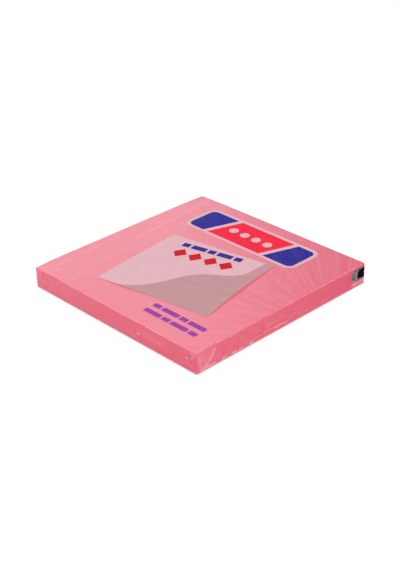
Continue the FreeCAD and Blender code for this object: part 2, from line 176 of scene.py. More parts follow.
@dataclass(frozen=True)
class Stations:
    """Places round a square with round corners, the same for every row of a skin.

    Each side runs from the middle of one corner to the middle of the next: half an arc, a straight
    run whose steps are closer near the corners, and half an arc.
    """

    straight: int
    bend: int = 5
    crowding: float = 0.6

    @property
    def per_side(self) -> int:
        """Steps along one side, with half an arc at each end."""
        return self.straight + 2 * self.bend

    @property
    def side_numbers(self) -> Array:
        """Number of the side that each station of a ring is on."""
        return np.repeat(np.arange(len(Side)), self.per_side)

    def one_side(self) -> tuple[Array, Array]:
        """Stations of one side: even steps drawn towards the corners by a sine, between half arcs.

        Returns:
            Share of the straight run, from -1 to 1, and turn in the arcs, at each station.
        """
        even = np.linspace(-1.0, 1.0, self.straight + 1)
        run = (1.0 - self.crowding) * even + self.crowding * np.sin(even * math.pi / 2)
        turn = np.linspace(0.0, math.pi / 4, self.bend + 1)[1:]
        level = np.zeros(self.straight + 1)
        ones = np.ones(self.bend)
        return np.concatenate([-ones, run, ones]), np.concatenate([-turn[::-1], level, turn])

    def ring(self, half: float, radius: float) -> tuple[Array, Array, Array]:
        """Stations of a whole outline, anticlockwise from the left near corner.

        A point is the arc's centre, or the place on the straight run, plus the radius along the
        outward direction, which turns from one side's to the next through each corner.

        Args:
            half: Half the width of the square.
            radius: Radius of its corners.

        Returns:
            Points (4n, 2), outward directions (4n, 2), and places along the side (4n,).
        """
        run, turn = (values[:-1] for values in self.one_side())
        core = half - radius
        points, normals = [], []
        for side in Side:
            angle = side.value * math.pi / 2
            along = np.array([math.cos(angle), math.sin(angle)])
            outward = np.array([math.sin(angle), -math.cos(angle)])
            normal = np.outer(np.sin(turn), along) + np.outer(np.cos(turn), outward)
            points.append(np.outer(run * core, along) + core * outward + radius * normal)
            normals.append(normal)
        across = run * core + radius * np.sin(turn)
        return np.vstack(points), np.vstack(normals), np.tile(across, len(Side))

    def filled(self, half: float, radius: float) -> Array:
        """Grid that fills the outline, as a Coons patch between its four sides.

        Args:
            half: Half the width of the square.
            radius: Radius of its corners.

        Returns:
            Points (n + 1, n + 1, 2), first along X and then along Y.
        """
        points = self.ring(half, radius)[0]
        count = self.per_side
        closed = np.vstack([points, points[:1]])
        near, right = closed[: count + 1], closed[count : 2 * count + 1]
        far, left = closed[2 * count : 3 * count + 1][::-1], closed[3 * count :][::-1]
        return coons(near, right, far, left)


def skin(top: Array, rows: Array, centre: Array) -> tuple[Array, Faces]:
    """Closed skin: a grid on top, rows that go down round it, and a fan to one point below.

    Args:
        top: Grid of points (n + 1, n + 1, 3).
        rows: Rings of points (m, 4n, 3), with a point under each point of the grid's rim.
        centre: Point that closes the last ring.

    Returns:
        Points (N, 3), and faces that point outwards.
    """
    count = len(top) - 1
    grid = np.arange((count + 1) ** 2).reshape(count + 1, count + 1)
    rim = np.concatenate([grid[:-1, 0], grid[-1, :-1], grid[:0:-1, -1], grid[0, :0:-1]])
    lower = grid.size + np.arange(rows.shape[0] * rows.shape[1]).reshape(rows.shape[:2])
    rings = np.vstack([rim, lower])
    flat = np.stack([grid[:-1, :-1], grid[1:, :-1], grid[1:, 1:], grid[:-1, 1:]], axis=-1)
    after = np.roll(rings, -1, axis=1)
    wall = np.stack([rings[:-1], rings[1:], after[1:], after[:-1]], axis=-1)
    last = np.full(len(rim), grid.size + lower.size)
    fan = np.stack([rings[-1], last, after[-1]], axis=-1)
    points = np.vstack([top.reshape(-1, 3), rows.reshape(-1, 3), centre[None]])
    return points, flat.reshape(-1, 4).tolist() + wall.reshape(-1, 4).tolist() + fan.tolist()


def make_object(
    name: str,
    points: Array,
    faces: Faces,
    materials: list[bpy.types.Material],
    haze: Array | None = None,
    face_materials: Array | None = None,
) -> bpy.types.Object:
    """Put points and faces into a mesh object at the origin.

    Args:
        name: Name of the piece.
        points: Places in millimetres (N, 3).
        faces: Corner numbers of each face.
        materials: Its materials.
        haze: How pale the film is at each point, from 0 to 1, painted sheen and highlight included; on the
            inks it drives a painted sheen.
        face_materials: Number of each face's material, if there are several.

    Returns:
        The object, in metres.
    """
    mesh = bpy.data.meshes.new(name)
    mesh.from_pydata((points * MM).tolist(), [], faces)
    for material in materials:
        mesh.materials.append(material)
    if face_materials is not None:
        mesh.polygons.foreach_set("material_index", face_materials.astype(np.int32))
    if haze is not None:
        layer = mesh.attributes.new(HAZE, "FLOAT", "POINT")
        layer.data.foreach_set("value", haze.astype(np.float32))
    mesh.shade_smooth()
    mesh.set_sharp_from_angle(angle=SHARP_ANGLE)
    mesh.update()
    made = bpy.data.objects.new(name, mesh)
    bpy.context.scene.collection.objects.link(made)
    return made


def settle(piece: bpy.types.Object, node: str, slot: str) -> None:
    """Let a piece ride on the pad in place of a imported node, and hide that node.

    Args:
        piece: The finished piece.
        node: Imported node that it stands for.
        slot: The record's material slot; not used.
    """
    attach(piece, BODY)
    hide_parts(node)
    log.info("%s: %d faces", piece.name, len(piece.data.polygons))


# Finishes


def colour(code: str) -> tuple[float, float, float, float]:
    """Turn an sRGB hex code into a linear colour with full alpha, by sRGB's own curve.

    Args:
        code: A hash sign and six digits.

    Returns:
        Red, green, blue and alpha, from 0 to 1.
    """
    shares = np.array([int(code[at : at + 2], 16) for at in (1, 3, 5)]) / 255.0
    linear = np.where(shares <= 0.04045, shares / 12.92, ((shares + 0.055) / 1.055) ** 2.4)
    return (*linear.tolist(), 1.0)


def add_node(
    tree: bpy.types.NodeTree, kind: str, inputs: dict | None = None, **settings: object
) -> bpy.types.Node:
    """Add a node with its settings, and give its inputs a value or a link.

    Args:
        tree: Node tree to add it to.
        kind: Blender's name of the node.
        inputs: Socket name or number to a value, or to the output that feeds it.
        settings: The node's own settings.

    Returns:
        The node.
    """
    node = tree.nodes.new(kind)
    for name, value in settings.items():
        setattr(node, name, value)
    for name, value in (inputs or {}).items():
        if isinstance(value, bpy.types.NodeSocket):
            tree.links.new(value, node.inputs[name])
        else:
            node.inputs[name].default_value = value
    return node


def new_material(name: str) -> tuple[bpy.types.Material, bpy.types.NodeTree]:
    """Make an empty node material.

    Args:
        name: Its name.

    Returns:
        The material and its node tree.
    """
    material = bpy.data.materials.new(name)
    material.use_nodes = True
    material.node_tree.nodes.clear()
    return material, material.node_tree


def spots(
    tree: bpy.types.NodeTree, size: float, stretch: Stretch = (1, 1, 1), detail: float = 2.0
) -> bpy.types.NodeSocket:
    """Noise on object coordinates, with spots of a real size.

    Args:
        tree: Node tree to add it to.
        size: Size of a spot in millimetres.
        stretch: How many times longer the spots are along X, Y and Z.
        detail: Octaves of finer noise.

    Returns:
        The noise's output, from 0 to 1.
    """
    place = add_node(tree, "ShaderNodeTexCoord")
    scale = tuple(1.0 / (size * MM * times) for times in stretch)
    mapping = add_node(
        tree, "ShaderNodeMapping", {"Vector": place.outputs["Object"], "Scale": scale}
    )
    noise = {"Vector": mapping.outputs["Vector"], "Scale": 1.0, "Detail": detail}
    return add_node(tree, "ShaderNodeTexNoise", noise).outputs["Fac"]


def blended(
    tree: bpy.types.NodeTree, share: bpy.types.NodeSocket, low: object, high: object
) -> bpy.types.NodeSocket:
    """Colour that goes from low to high with share.

    Args:
        tree: Node tree to add it to.
        share: What drives it, from 0 to 1.
        low: Colour, or output, at 0.
        high: Colour, or output, at 1.

    Returns:
        The blended colour.
    """
    inputs = {0: share, MIX_A: low, MIX_B: high}
    return add_node(tree, "ShaderNodeMix", inputs, data_type="RGBA").outputs[MIX_RESULT]


def ranged(
    tree: bpy.types.NodeTree, value: bpy.types.NodeSocket, taken: Point, given: Point
) -> bpy.types.NodeSocket:
    """A value carried from one range to another, and held to it.

    Args:
        tree: Node tree to add it to.
        value: The value's output.
        taken: Range that it comes in.
        given: Range that it goes out in.

    Returns:
        The new value's output.
    """
    inputs = {
        "Value": value,
        "From Min": taken[0],
        "From Max": taken[1],
        "To Min": given[0],
        "To Max": given[1],
    }
    return add_node(tree, "ShaderNodeMapRange", inputs).outputs["Result"]


@dataclass(frozen=True)
class PaperFinish:
    """Dyed uncoated paper: matt, with faintly cloudy dye and fine fibres.

    The fibres are drawn 0.3 mm wide, coarser than real ones, so that they show. On a cut edge the
    fibres lie along the sheets, and every few sheets differ a little in tone.
    """

    name: str
    deep: str
    light: str
    cloud_size: float
    cloud_stretch: Stretch
    fibre_stretch: Stretch
    roughness: float = 0.85
    cloud_detail: float = 4.0
    cloud_range: Point = (0.3, 0.7)
    fibre_size: float = 0.3
    fibre_depth: float = 0.01
    fibre_strength: float = 0.6

    def make(self) -> bpy.types.Material:
        """Build the material: clouds of dye between its two tones, and a fine bump of fibres.

        Returns:
            The paper's material.
        """
        material, tree = new_material(self.name)
        clouds = spots(tree, self.cloud_size, self.cloud_stretch, self.cloud_detail)
        share = ranged(tree, clouds, self.cloud_range, (0, 1))
        tone = blended(tree, share, colour(self.deep), colour(self.light))
        bump = add_node(
            tree,
            "ShaderNodeBump",
            {
                "Height": spots(tree, self.fibre_size, self.fibre_stretch),
                "Distance": self.fibre_depth * MM,
                "Strength": self.fibre_strength,
            },
        )
        shader = add_node(
            tree,
            "ShaderNodeBsdfPrincipled",
            {"Base Color": tone, "Roughness": self.roughness, "Normal": bump.outputs["Normal"]},
        )
        add_node(tree, "ShaderNodeOutputMaterial", {"Surface": shader.outputs["BSDF"]})
        return material


@dataclass(frozen=True)
class FilmFinish:
    """Clear polyolefin shrink film: see-through, glossy, and pale where it is drawn or folded.

    Both faces mirror by Fresnel's law at an index of 1.5. The haze is the film's own scatter, which grows
    along tension lines, folds and the trimmed seal; it also carries a painted sheen on the top's left part
    and a painted highlight along the top edge's round. Light on its way to the paper passes, as it does in a
    thin film that scatters forwards.
    """

    name: str = "shrink_film"
    haze_colour: str = "#FFDDE3"
    mirror_colour: str = "#FFFFFF"
    index: float = 1.5
    roughness: Point = (0.09, 0.16)
    haze_roughness: float = 0.6
    most_haze: float = 0.85
    ripple_size: float = 1.6
    ripple_stretch: Stretch = (3, 1, 1)
    ripple_depth: float = 0.004
    cloud_size: float = 0.9
    cloud_detail: float = 4.0
    cloud_range: Point = (0.45, 0.75)
    cloud: Point = (0.0, 0.06)

    def make(self) -> bpy.types.Material:
        """Build the material: a clear and a milky body mixed by the haze, under Fresnel's mirror.

        Returns:
            The film's material.
        """
        material, tree = new_material(self.name)
        drawn = add_node(tree, "ShaderNodeAttribute", attribute_name=HAZE).outputs["Fac"]
        clouds = spots(tree, self.cloud_size, detail=self.cloud_detail)
        cloud = ranged(tree, clouds, self.cloud_range, self.cloud)
        haze = add_node(tree, "ShaderNodeMath", {0: drawn, 1: cloud}, operation="ADD").outputs[0]
        ripple = spots(tree, self.ripple_size, self.ripple_stretch)
        bump = add_node(
            tree,
            "ShaderNodeBump",
            {"Height": ripple, "Distance": self.ripple_depth * MM, "Strength": 1.0},
        ).outputs["Normal"]
        rough = ranged(tree, haze, (0, 1), self.roughness)
        milky = add_node(
            tree,
            "ShaderNodeBsdfPrincipled",
            {
                "Base Color": colour(self.haze_colour),
                "Roughness": self.haze_roughness,
                "Specular IOR Level": 0.0,
                "Normal": bump,
            },
        )
        mirror = add_node(
            tree,
            "ShaderNodeBsdfAnisotropic",
            {"Color": colour(self.mirror_colour), "Roughness": rough, "Normal": bump},
        )
        clear = add_node(tree, "ShaderNodeBsdfTransparent")
        paleness = ranged(tree, haze, (0, 1), (0, self.most_haze))
        body = add_node(
            tree, "ShaderNodeMixShader", {0: paleness, 1: clear.outputs[0], 2: milky.outputs[0]}
        )
        behind = add_node(tree, "ShaderNodeNewGeometry").outputs["Backfacing"]
        index = ranged(tree, behind, (0, 1), (self.index, 1.0 / self.index))
        share = add_node(tree, "ShaderNodeFresnel", {"IOR": index, "Normal": bump})
        film = add_node(
            tree, "ShaderNodeMixShader", {0: share.outputs[0], 1: body.outputs[0], 2: mirror.outputs[0]}
        )
        path = add_node(tree, "ShaderNodeLightPath")
        lit = {0: path.outputs["Is Shadow Ray"], 1: path.outputs["Is Diffuse Ray"]}
        light = add_node(tree, "ShaderNodeMath", lit, operation="MAXIMUM").outputs[0]
        through = add_node(tree, "ShaderNodeBsdfTransparent")
        whole = add_node(
            tree, "ShaderNodeMixShader", {0: light, 1: film.outputs[0], 2: through.outputs[0]}
        )
        add_node(tree, "ShaderNodeOutputMaterial", {"Surface": whole.outputs[0]})
        return material


@dataclass(frozen=True)
class InkFinish:
    """Flexo ink on shrink film: an even, silky colour, faintly mottled, with a painted sheen that makes it
    paler on the film's folds and lines.
    """

    name: str
    ink: str
    thin: str
    pale: str = "#F6DDE1"
    mottle_size: float = 1.2
    mottle_detail: float = 3.0
    mottle_range: Point = (0.35, 0.65)
    most_haze: float = 0.2
    roughness: Point = (0.18, 0.25)
    index: float = 1.5
    gloss: float = 0.03

    def make(self) -> bpy.types.Material:
        """Build the material: mottled ink with a painted sheen, paler where the film is drawn or folded.

        Returns:
            The ink's material.
        """
        material, tree = new_material(self.name)
        patches = spots(tree, self.mottle_size, detail=self.mottle_detail)
        mottle = ranged(tree, patches, self.mottle_range, (0, 1))
        haze = add_node(tree, "ShaderNodeAttribute", attribute_name=HAZE).outputs["Fac"]
        tone = blended(tree, mottle, colour(self.ink), colour(self.thin))
        # painted sheen: the ink pales with the film's haze, along its lines and folds and on the top's left
        # part
        drawn = blended(tree, ranged(tree, haze, (0, 1), (0, self.most_haze)), tone, colour(self.pale))
        rough = ranged(tree, mottle, (0, 1), self.roughness)
        shader = add_node(
            tree,
            "ShaderNodeBsdfPrincipled",
            {
                "Base Color": drawn,
                "Roughness": rough,
                "IOR": self.index,
                "Specular IOR Level": self.gloss,
            },
        )
        add_node(tree, "ShaderNodeOutputMaterial", {"Surface": shader.outputs["BSDF"]})
        return material


# Uncoated paper dyed through: matt and even, with a faint cloud
NOTE_FACE = PaperFinish(
    "dyed_note_paper", "#F15E7B", "#F5637F", cloud_size=7.0, cloud_stretch=(1, 1, 1), fibre_stretch=(1, 3, 1)
)
# The same paper cut in a stack: deeper, as light sinks in between the sheets, with fine level lines
NOTE_EDGE = PaperFinish(
    "guillotined_paper_edge",
    "#EA305D",
    "#F0436F",
    cloud_size=0.4,
    cloud_stretch=(30, 30, 1),
    fibre_stretch=(6, 6, 1),
)
# Calendered paper with a silicone coat: off-white, with a low sheen
RELEASE = PaperFinish(
    "siliconised_release_paper",
    "#E6E3DC",
    "#EFEDE7",
    cloud_size=5.0,
    cloud_stretch=(1, 1, 1),
    fibre_stretch=(3, 1, 1),
    roughness=0.45,
)
FILM = FilmFinish()
# Flexo inks, printed thin on film: flat, saturated and a little silky
PALE_INK = InkFinish("pale_flexo_ink", "#E6B8C2", "#E8BBC4", mottle_size=3.0, most_haze=0.5)
GREY_INK = InkFinish("grey_flexo_ink", "#C6969B", "#C9999E", mottle_size=3.0, most_haze=0.45)
SHADOW_INK = InkFinish("deep_pink_flexo_ink", "#E16A7D", "#E47184")
RED_INK = InkFinish("red_flexo_ink", "#F92442", "#FB2C49")
DEEP_RED_INK = InkFinish("deep_red_flexo_ink", "#D10F1C", "#D8182A")
BLUE_INK = InkFinish("blue_flexo_ink", "#2E2993", "#36319A")
PURPLE_INK = InkFinish("purple_flexo_ink", "#9A40A8", "#A248AF")
SILVER_INK = InkFinish("silver_flexo_ink", "#453A40", "#AFA1A8", mottle_size=0.6)
BLACK_INK = InkFinish("black_flexo_ink", "#140609", "#1A0A0E")


# The film's form, which every other piece follows


@dataclass(frozen=True)
class Droop:
    """How far the film draws one corner of the top down, and over what reach."""

    corner: Point
    depth: float
    reach: float = 14.0


@dataclass(frozen=True)
class Crease:
    """A small fold on one side, as a ridge with a bell-shaped section along a segment.

    The ends are given as the place along the side, from its middle, and the height above the table.
    """

    side: Side
    start: Point
    end: Point
    width: float
    height: float
    haze: float


@dataclass(frozen=True)
class Wave:
    """One cosine of the tension lines: waves per full turn, start, and the reach it is strongest at."""

    count: float
    phase: float
    reach: float
    spread: float


CREASES = (
    Crease(Side.NEAR, (36.1, 4.85), (36.4, 5.05), 0.2, 0.10, 0.75),
    Crease(Side.NEAR, (33.9, 4.1), (34.3, 4.3), 0.2, 0.10, 0.75),
    Crease(Side.NEAR, (36.3, 6.95), (37.3, 6.0), 0.28, 0.04, 0.42),
    Crease(Side.NEAR, (12.3, 2.95), (12.9, 3.3), 0.2, 0.10, 0.80),
    Crease(Side.NEAR, (15.0, 4.7), (22.0, 3.6), 1.0, 0.01, 0.13),
    Crease(Side.NEAR, (-35.0, 4.2), (-22.0, 3.2), 1.3, 0.01, 0.10),
    Crease(Side.NEAR, (-16.0, 4.6), (-9.0, 3.6), 1.3, 0.01, 0.10),
    Crease(Side.NEAR, (-37.6, 6.4), (-37.0, 5.4), 0.2, 0.04, 0.66),
    Crease(Side.RIGHT, (-37.2, 6.4), (-36.3, 1.6), 0.5, 0.02, 0.30),
    Crease(Side.RIGHT, (-35.6, 5.6), (-34.6, 2.4), 0.25, 0.03, 0.34),
    Crease(Side.RIGHT, (-33.0, 2.4), (-30.6, 5.6), 0.27, 0.04, 0.62),
    Crease(Side.RIGHT, (-34.8, 1.6), (-33.9, 1.8), 0.3, 0.03, 0.57),
    Crease(Side.RIGHT, (-36.0, 4.4), (-32.0, 4.2), 1.9, 0.01, 0.19),
    Crease(Side.RIGHT, (-8.6, 3.6), (-3.6, 3.7), 0.2, 0.08, 0.35),
    Crease(Side.RIGHT, (-9.4, 2.0), (-6.2, 1.85), 0.2, 0.07, 0.35),
    Crease(Side.RIGHT, (-4.8, 1.45), (-3.0, 1.4), 0.22, 0.08, 0.5),
    Crease(Side.RIGHT, (-1.4, 1.4), (0.0, 1.45), 0.22, 0.08, 0.5),
    Crease(Side.RIGHT, (2.8, 2.9), (4.5, 3.1), 0.2, 0.07, 0.35),
    Crease(Side.RIGHT, (7.2, 3.3), (8.4, 3.4), 0.2, 0.06, 0.3),
    Crease(Side.RIGHT, (-27.6, 0.85), (-26.0, 0.85), 0.16, 0.10, 1.00),
    Crease(Side.RIGHT, (-23.2, 0.85), (-21.8, 0.85), 0.16, 0.10, 1.00),
    Crease(Side.RIGHT, (-20.2, 0.85), (-19.2, 0.85), 0.16, 0.10, 1.00),
    Crease(Side.RIGHT, (-16.2, 0.85), (-14.6, 0.85), 0.16, 0.10, 1.00),
    Crease(Side.RIGHT, (-36.4, 0.8), (-30.5, 0.85), 0.16, 0.09, 1.00),
    Crease(Side.RIGHT, (32.2, 1.3), (37.2, 1.3), 0.6, 0.01, 0.38),
    Crease(Side.FAR, (-36.4, 5.9), (-34.2, 3.2), 0.3, 0.04, 0.57),
    Crease(Side.FAR, (-18.0, 2.9), (-12.0, 3.1), 0.25, 0.03, 0.34),
    Crease(Side.FAR, (9.0, 0.9), (15.0, 0.9), 0.2, 0.03, 0.57),
    Crease(Side.FAR, (35.9, 6.1), (36.9, 3.9), 0.3, 0.04, 0.57),
    Crease(Side.LEFT, (-36.6, 6.2), (-34.6, 2.9), 0.3, 0.04, 0.57),
    Crease(Side.LEFT, (-6.0, 4.1), (1.0, 3.8), 0.25, 0.03, 0.30),
    Crease(Side.LEFT, (20.0, 0.9), (26.0, 0.9), 0.2, 0.03, 0.57),
    Crease(Side.LEFT, (36.2, 6.3), (37.1, 4.6), 0.3, 0.04, 0.57),
)


@dataclass(frozen=True)
class FilmForm:
    """The film's outer face: a flat box with round edges, drawn down at three corners.

    The top carries fine tension lines, as ridges on rays from a point beyond the right edge, and
    ridges that gather at the drawn corners. The sides carry the trimmed seal and small creases. A
    haze is a share from 0 to 1, and a range or fade gives where a step starts and ends.
    """

    half: float
    top: float
    # The rounds of its upright corners, of its top edge and of its foot
    corner: float = 0.5
    edge: float = 0.32
    foot: float = 0.2
    # The trimmed seal round the sides, with a width that varies
    seal_height: float = 1.7
    seal_half: float = 0.045
    seal_width: float = 0.1
    seal_haze: float = 0.14
    seal_break: float = 0.2
    seal_ripples: Ripples = (Ripple(0.41, 0.0, 1.7), Ripple(0.173))
    # Tension lines on rays from the focus, eased to both sides and level along the top's edges
    focus: Point = (60.0, -2.0)
    ridge: float = 0.018
    line_level: float = 0.28
    line_gain: float = 0.5
    line_power: float = 1.15
    line_haze: float = 0.20
    line_break: float = 0.32
    line_ripples: Ripples = (Ripple(0.62, 9.0), Ripple(0.31, -16.0))
    left_fade: Point = (-12.0, 8.0)
    far_ease: float = 0.35
    far_range: Point = (-5.0, 25.0)
    near_ease: float = 0.4
    near_range: Point = (8.0, 34.0)
    calm: Point = (0.3, 2.2)
    # Short slanting lines near the left edge
    stray_turn: float = 2.9
    stray_length_turn: float = 0.55
    stray_sway: float = 0.8
    stray_range: Point = (-34.0, -24.0)
    stray_ridge: float = 0.6
    stray_haze: float = 0.14
    # Ridges that gather at the drawn corners
    gather: float = 0.010
    gather_count: float = 26.0
    gather_phase: float = 1.0
    gather_start: Point = (0.3, 1.5)
    gather_reach: float = 6.0
    gather_haze: float = 0.2
    # Haze of the plain top and of the plain sides, and a painted sheen that makes the top paler towards the
    # left
    ground_haze: float = 0.005
    left_sheen: float = 0.03
    left_sheen_range: Point = (-36.0, 10.0)
    side_haze: float = 0.01
    # Cloudy and streaky patches on the sides, stronger towards each side's first end
    cloud_level: float = 0.2
    cloud_haze: float = 0.07
    cloud_ripples: Ripples = (Ripple(1.31, 1.1, 1.0), Ripple(-0.83, 2.2))
    streak_haze: float = 0.09
    streak_ripples: Ripples = (Ripple(3.7, -1.9), Ripple(0.61, 0.0, 2.0))
    mottle_lean: float = 0.5
    mottle_depth: float = 0.012
    # Soft folds across the left part of the top, each a place, a width and a strength
    fold_sway: float = 0.07
    fold_break: float = 0.4
    fold_turn: float = 0.11
    folds: tuple[tuple[float, float, float], ...] = (
        (-23.6, 0.5, 0.09),
        (-26.0, 0.8, 0.12),
        (-30.6, 0.5, 0.14),
        (-33.8, 0.5, 0.11),
    )
    droops: tuple[Droop, ...] = (
        Droop((-38.0, -38.0), 0.37),
        Droop((38.0, -38.0), 0.34),
        Droop((-38.0, 38.0), 0.26),
    )
    waves: tuple[Wave, ...] = (
        Wave(79.0, 0.3, 25.0, 8.0),
        Wave(109.0, 2.1, 32.0, 9.0),
        Wave(139.0, 4.4, 41.0, 10.0),
        Wave(181.0, 1.2, 52.0, 11.0),
        Wave(223.0, 5.3, 63.0, 12.0),
        Wave(47.0, 3.3, 38.0, 20.0),
    )

    def droop(self, points: Array) -> Array:
        """How far the corners draw the top down: depth times the square of what is left of the reach.

        Args:
            points: Places seen from above, with two numbers in the last axis.

        Returns:
            The drop in millimetres.
        """
        drop = np.zeros(points.shape[:-1])
        for droop in self.droops:
            away = np.linalg.norm(points - droop.corner, axis=-1)
            drop += droop.depth * np.clip(1.0 - away / droop.reach, 0.0, 1.0) ** 2
        return drop

    def tension(self, points: Array) -> Array:
        """Tension lines from 0 to 1: the raised part of a sum of cosines of the angle round the focus.

        Each cosine has a bell-shaped share of the reach, so that the lines stay about 2 mm apart.
        They fade to the left, ease to the near and far sides, and two slow ripples break them up.

        Args:
            points: Places seen from above, with two numbers in the last axis.

        Returns:
            The lines' height as a share.
        """
        away = self.focus[0] - points[..., 0]
        up = points[..., 1] - self.focus[1]
        angle, reach = np.arctan2(up, away), np.hypot(up, away)
        total = np.zeros(angle.shape)
        for wave in self.waves:
            total += bell(reach - wave.reach, wave.spread) * np.cos(wave.count * angle + wave.phase)
        lines = np.clip(self.line_level + self.line_gain * total, 0.0, 1.0) ** self.line_power
        lines *= 1.0 - self.line_break * (1.0 - crossed(self.line_ripples, reach, angle))
        easing = 1.0 - self.far_ease * smooth_step(points[..., 1], *self.far_range)
        easing -= self.near_ease * smooth_step(-points[..., 1], *self.near_range)
        return lines * easing * smooth_step(points[..., 0], *self.left_fade)

    def strays(self, points: Array) -> Array:
        """Short slanting lines near the left edge: two crossed cosines, the raised part only.

        Args:
            points: Places seen from above, with two numbers in the last axis.

        Returns:
            The lines' height as a share.
        """
        slant = (points[..., 0] - points[..., 1]) / math.sqrt(2.0)
        length = (points[..., 0] + points[..., 1]) / math.sqrt(2.0)
        swaying = np.cos(self.stray_length_turn * length + self.stray_sway * np.cos(slant))
        lines = np.clip(np.cos(self.stray_turn * slant) * swaying, 0.0, 1.0)
        return lines**2 * (1.0 - smooth_step(points[..., 0], *self.stray_range))

    def gathers(self, points: Array) -> Array:
        """Ridges that run out of the drawn corners: cosines of the angle round each, raised part only.

        Args:
            points: Places seen from above, with two numbers in the last axis.

        Returns:
            The ridges' height as a share.
        """
        total = np.zeros(points.shape[:-1])
        for droop in self.droops:
            offset = points - droop.corner
            angle = np.arctan2(offset[..., 1], offset[..., 0])
            away = np.linalg.norm(offset, axis=-1)
            near = np.exp(-away / self.gather_reach) * smooth_step(away, *self.gather_start)
            total += np.clip(np.cos(self.gather_count * angle + self.gather_phase), 0.0, 1.0) * near
        return total

    def height(self, points: Array, ridged: bool = True) -> Array:
        """Height of the film's top: the flat top, less the droop, plus the ridges, calm at the edges.

        Args:
            points: Places seen from above, with two numbers in the last axis.
            ridged: Whether to add the ridges.

        Returns:
            Heights above the table.
        """
        base = self.top - self.droop(points)
        if not ridged:
            return base
        lines = np.maximum(self.tension(points), self.stray_ridge * self.strays(points))
        lines *= smooth_step(self.half - np.abs(points).max(axis=-1), *self.calm)
        return base + self.ridge * np.clip(lines, 0.0, 1.0) + self.gather * self.gathers(points)

    def top_haze(self, points: Array) -> Array:
        """Haze of the top: a ground, a painted sheen on the left, the lines, the gathers, and the soft folds
        on the left.

        Args:
            points: Places seen from above, with two numbers in the last axis.

        Returns:
            Haze from 0 to 1.
        """
        x, y = points[..., 0], points[..., 1]
        # painted sheen: the top is made paler towards the left, where a softbox's reflection would lighten
        # it
        haze = self.ground_haze + self.left_sheen * (1.0 - smooth_step(x, *self.left_sheen_range))
        haze += self.line_haze * self.tension(points) + self.stray_haze * self.strays(points)
        haze += self.gather_haze * self.gathers(points)
        for place, width, strength in self.folds:
            bent = x - place - np.cos(self.fold_sway * y + place)
            broken = 1.0 - self.fold_break * (1.0 - np.cos(self.fold_turn * y - place))
            haze += strength * bell(bent, width) * broken
        return np.clip(haze, 0.0, 1.0)

    def on_side(self, side: Array, along: Array, height: Array) -> tuple[Array, Array]:
        """How far the film stands out from its flat side, and its haze there.

        The seal is a bell over the height, crossed ripples make cloudy and streaky patches, and each
        crease is a bell of the distance from its segment. The highest of them counts.

        Args:
            side: Number of the side at each place.
            along: Place along the side, from its middle.
            height: Height above the table.

        Returns:
            Distance outwards in millimetres, and haze from 0 to 1.
        """
        uneven = 1.0 - self.seal_break * (1.0 - crossed(self.seal_ripples, along, height, side))
        seal = bell(height - self.seal_height, self.seal_half) * uneven
        cloudy = crossed(self.cloud_ripples, along, height, side)
        streaky = crossed(self.streak_ripples, along, height, side)
        mottled = self.cloud_haze * np.clip(self.cloud_level + cloudy, 0.0, 1.0)
        mottled += self.streak_haze * np.clip(streaky, 0.0, 1.0)
        mottled *= 1.0 - self.mottle_lean * along / self.half
        out = self.seal_width * seal + self.mottle_depth * np.clip(cloudy + streaky, 0.0, 1.0)
        haze = self.side_haze + self.seal_haze * seal + mottled
        places = np.stack([along, height], axis=-1)
        for crease in CREASES:
            away = from_segment(places, crease.start, crease.end)
            there = (side == crease.side.value) * bell(away, crease.width)
            out = np.maximum(out, crease.height * there)
            haze = np.maximum(haze, crease.haze * there)
        return out, np.clip(haze, 0.0, 1.0)

    def on_top(self, points: Array, lift: float) -> Array:
        """Carry places seen from above to the film's top.

        Args:
            points: Places (N, 2).
            lift: How far above the film.

        Returns:
            Points (N, 3).
        """
        return np.column_stack([points, self.height(points) + lift])

    def round_corner(self, points: Array, lift: float) -> Array:
        """Carry places on the unrolled right and far sides to the film, round their corner.

        The first number is the way along the film from the corner's middle: along the straight
        sides beyond the arc, and radius times angle within it. The second is the height.

        Args:
            points: Places (N, 2).
            lift: How far outside the film.

        Returns:
            Points (N, 3).
        """
        way, height = points[:, 0], points[:, 1]
        arc = self.corner * math.pi / 4
        beyond = np.clip(np.abs(way) - arc, 0.0, None)
        angle = math.pi / 4 + np.clip(way, -arc, arc) / self.corner
        core = self.half - self.corner
        right, far = (way < 0) * beyond, (way > 0) * beyond
        x = core + (self.corner + lift) * np.cos(angle) - far
        y = core + (self.corner + lift) * np.sin(angle) - right
        return np.column_stack([x, y, height])


# The pieces


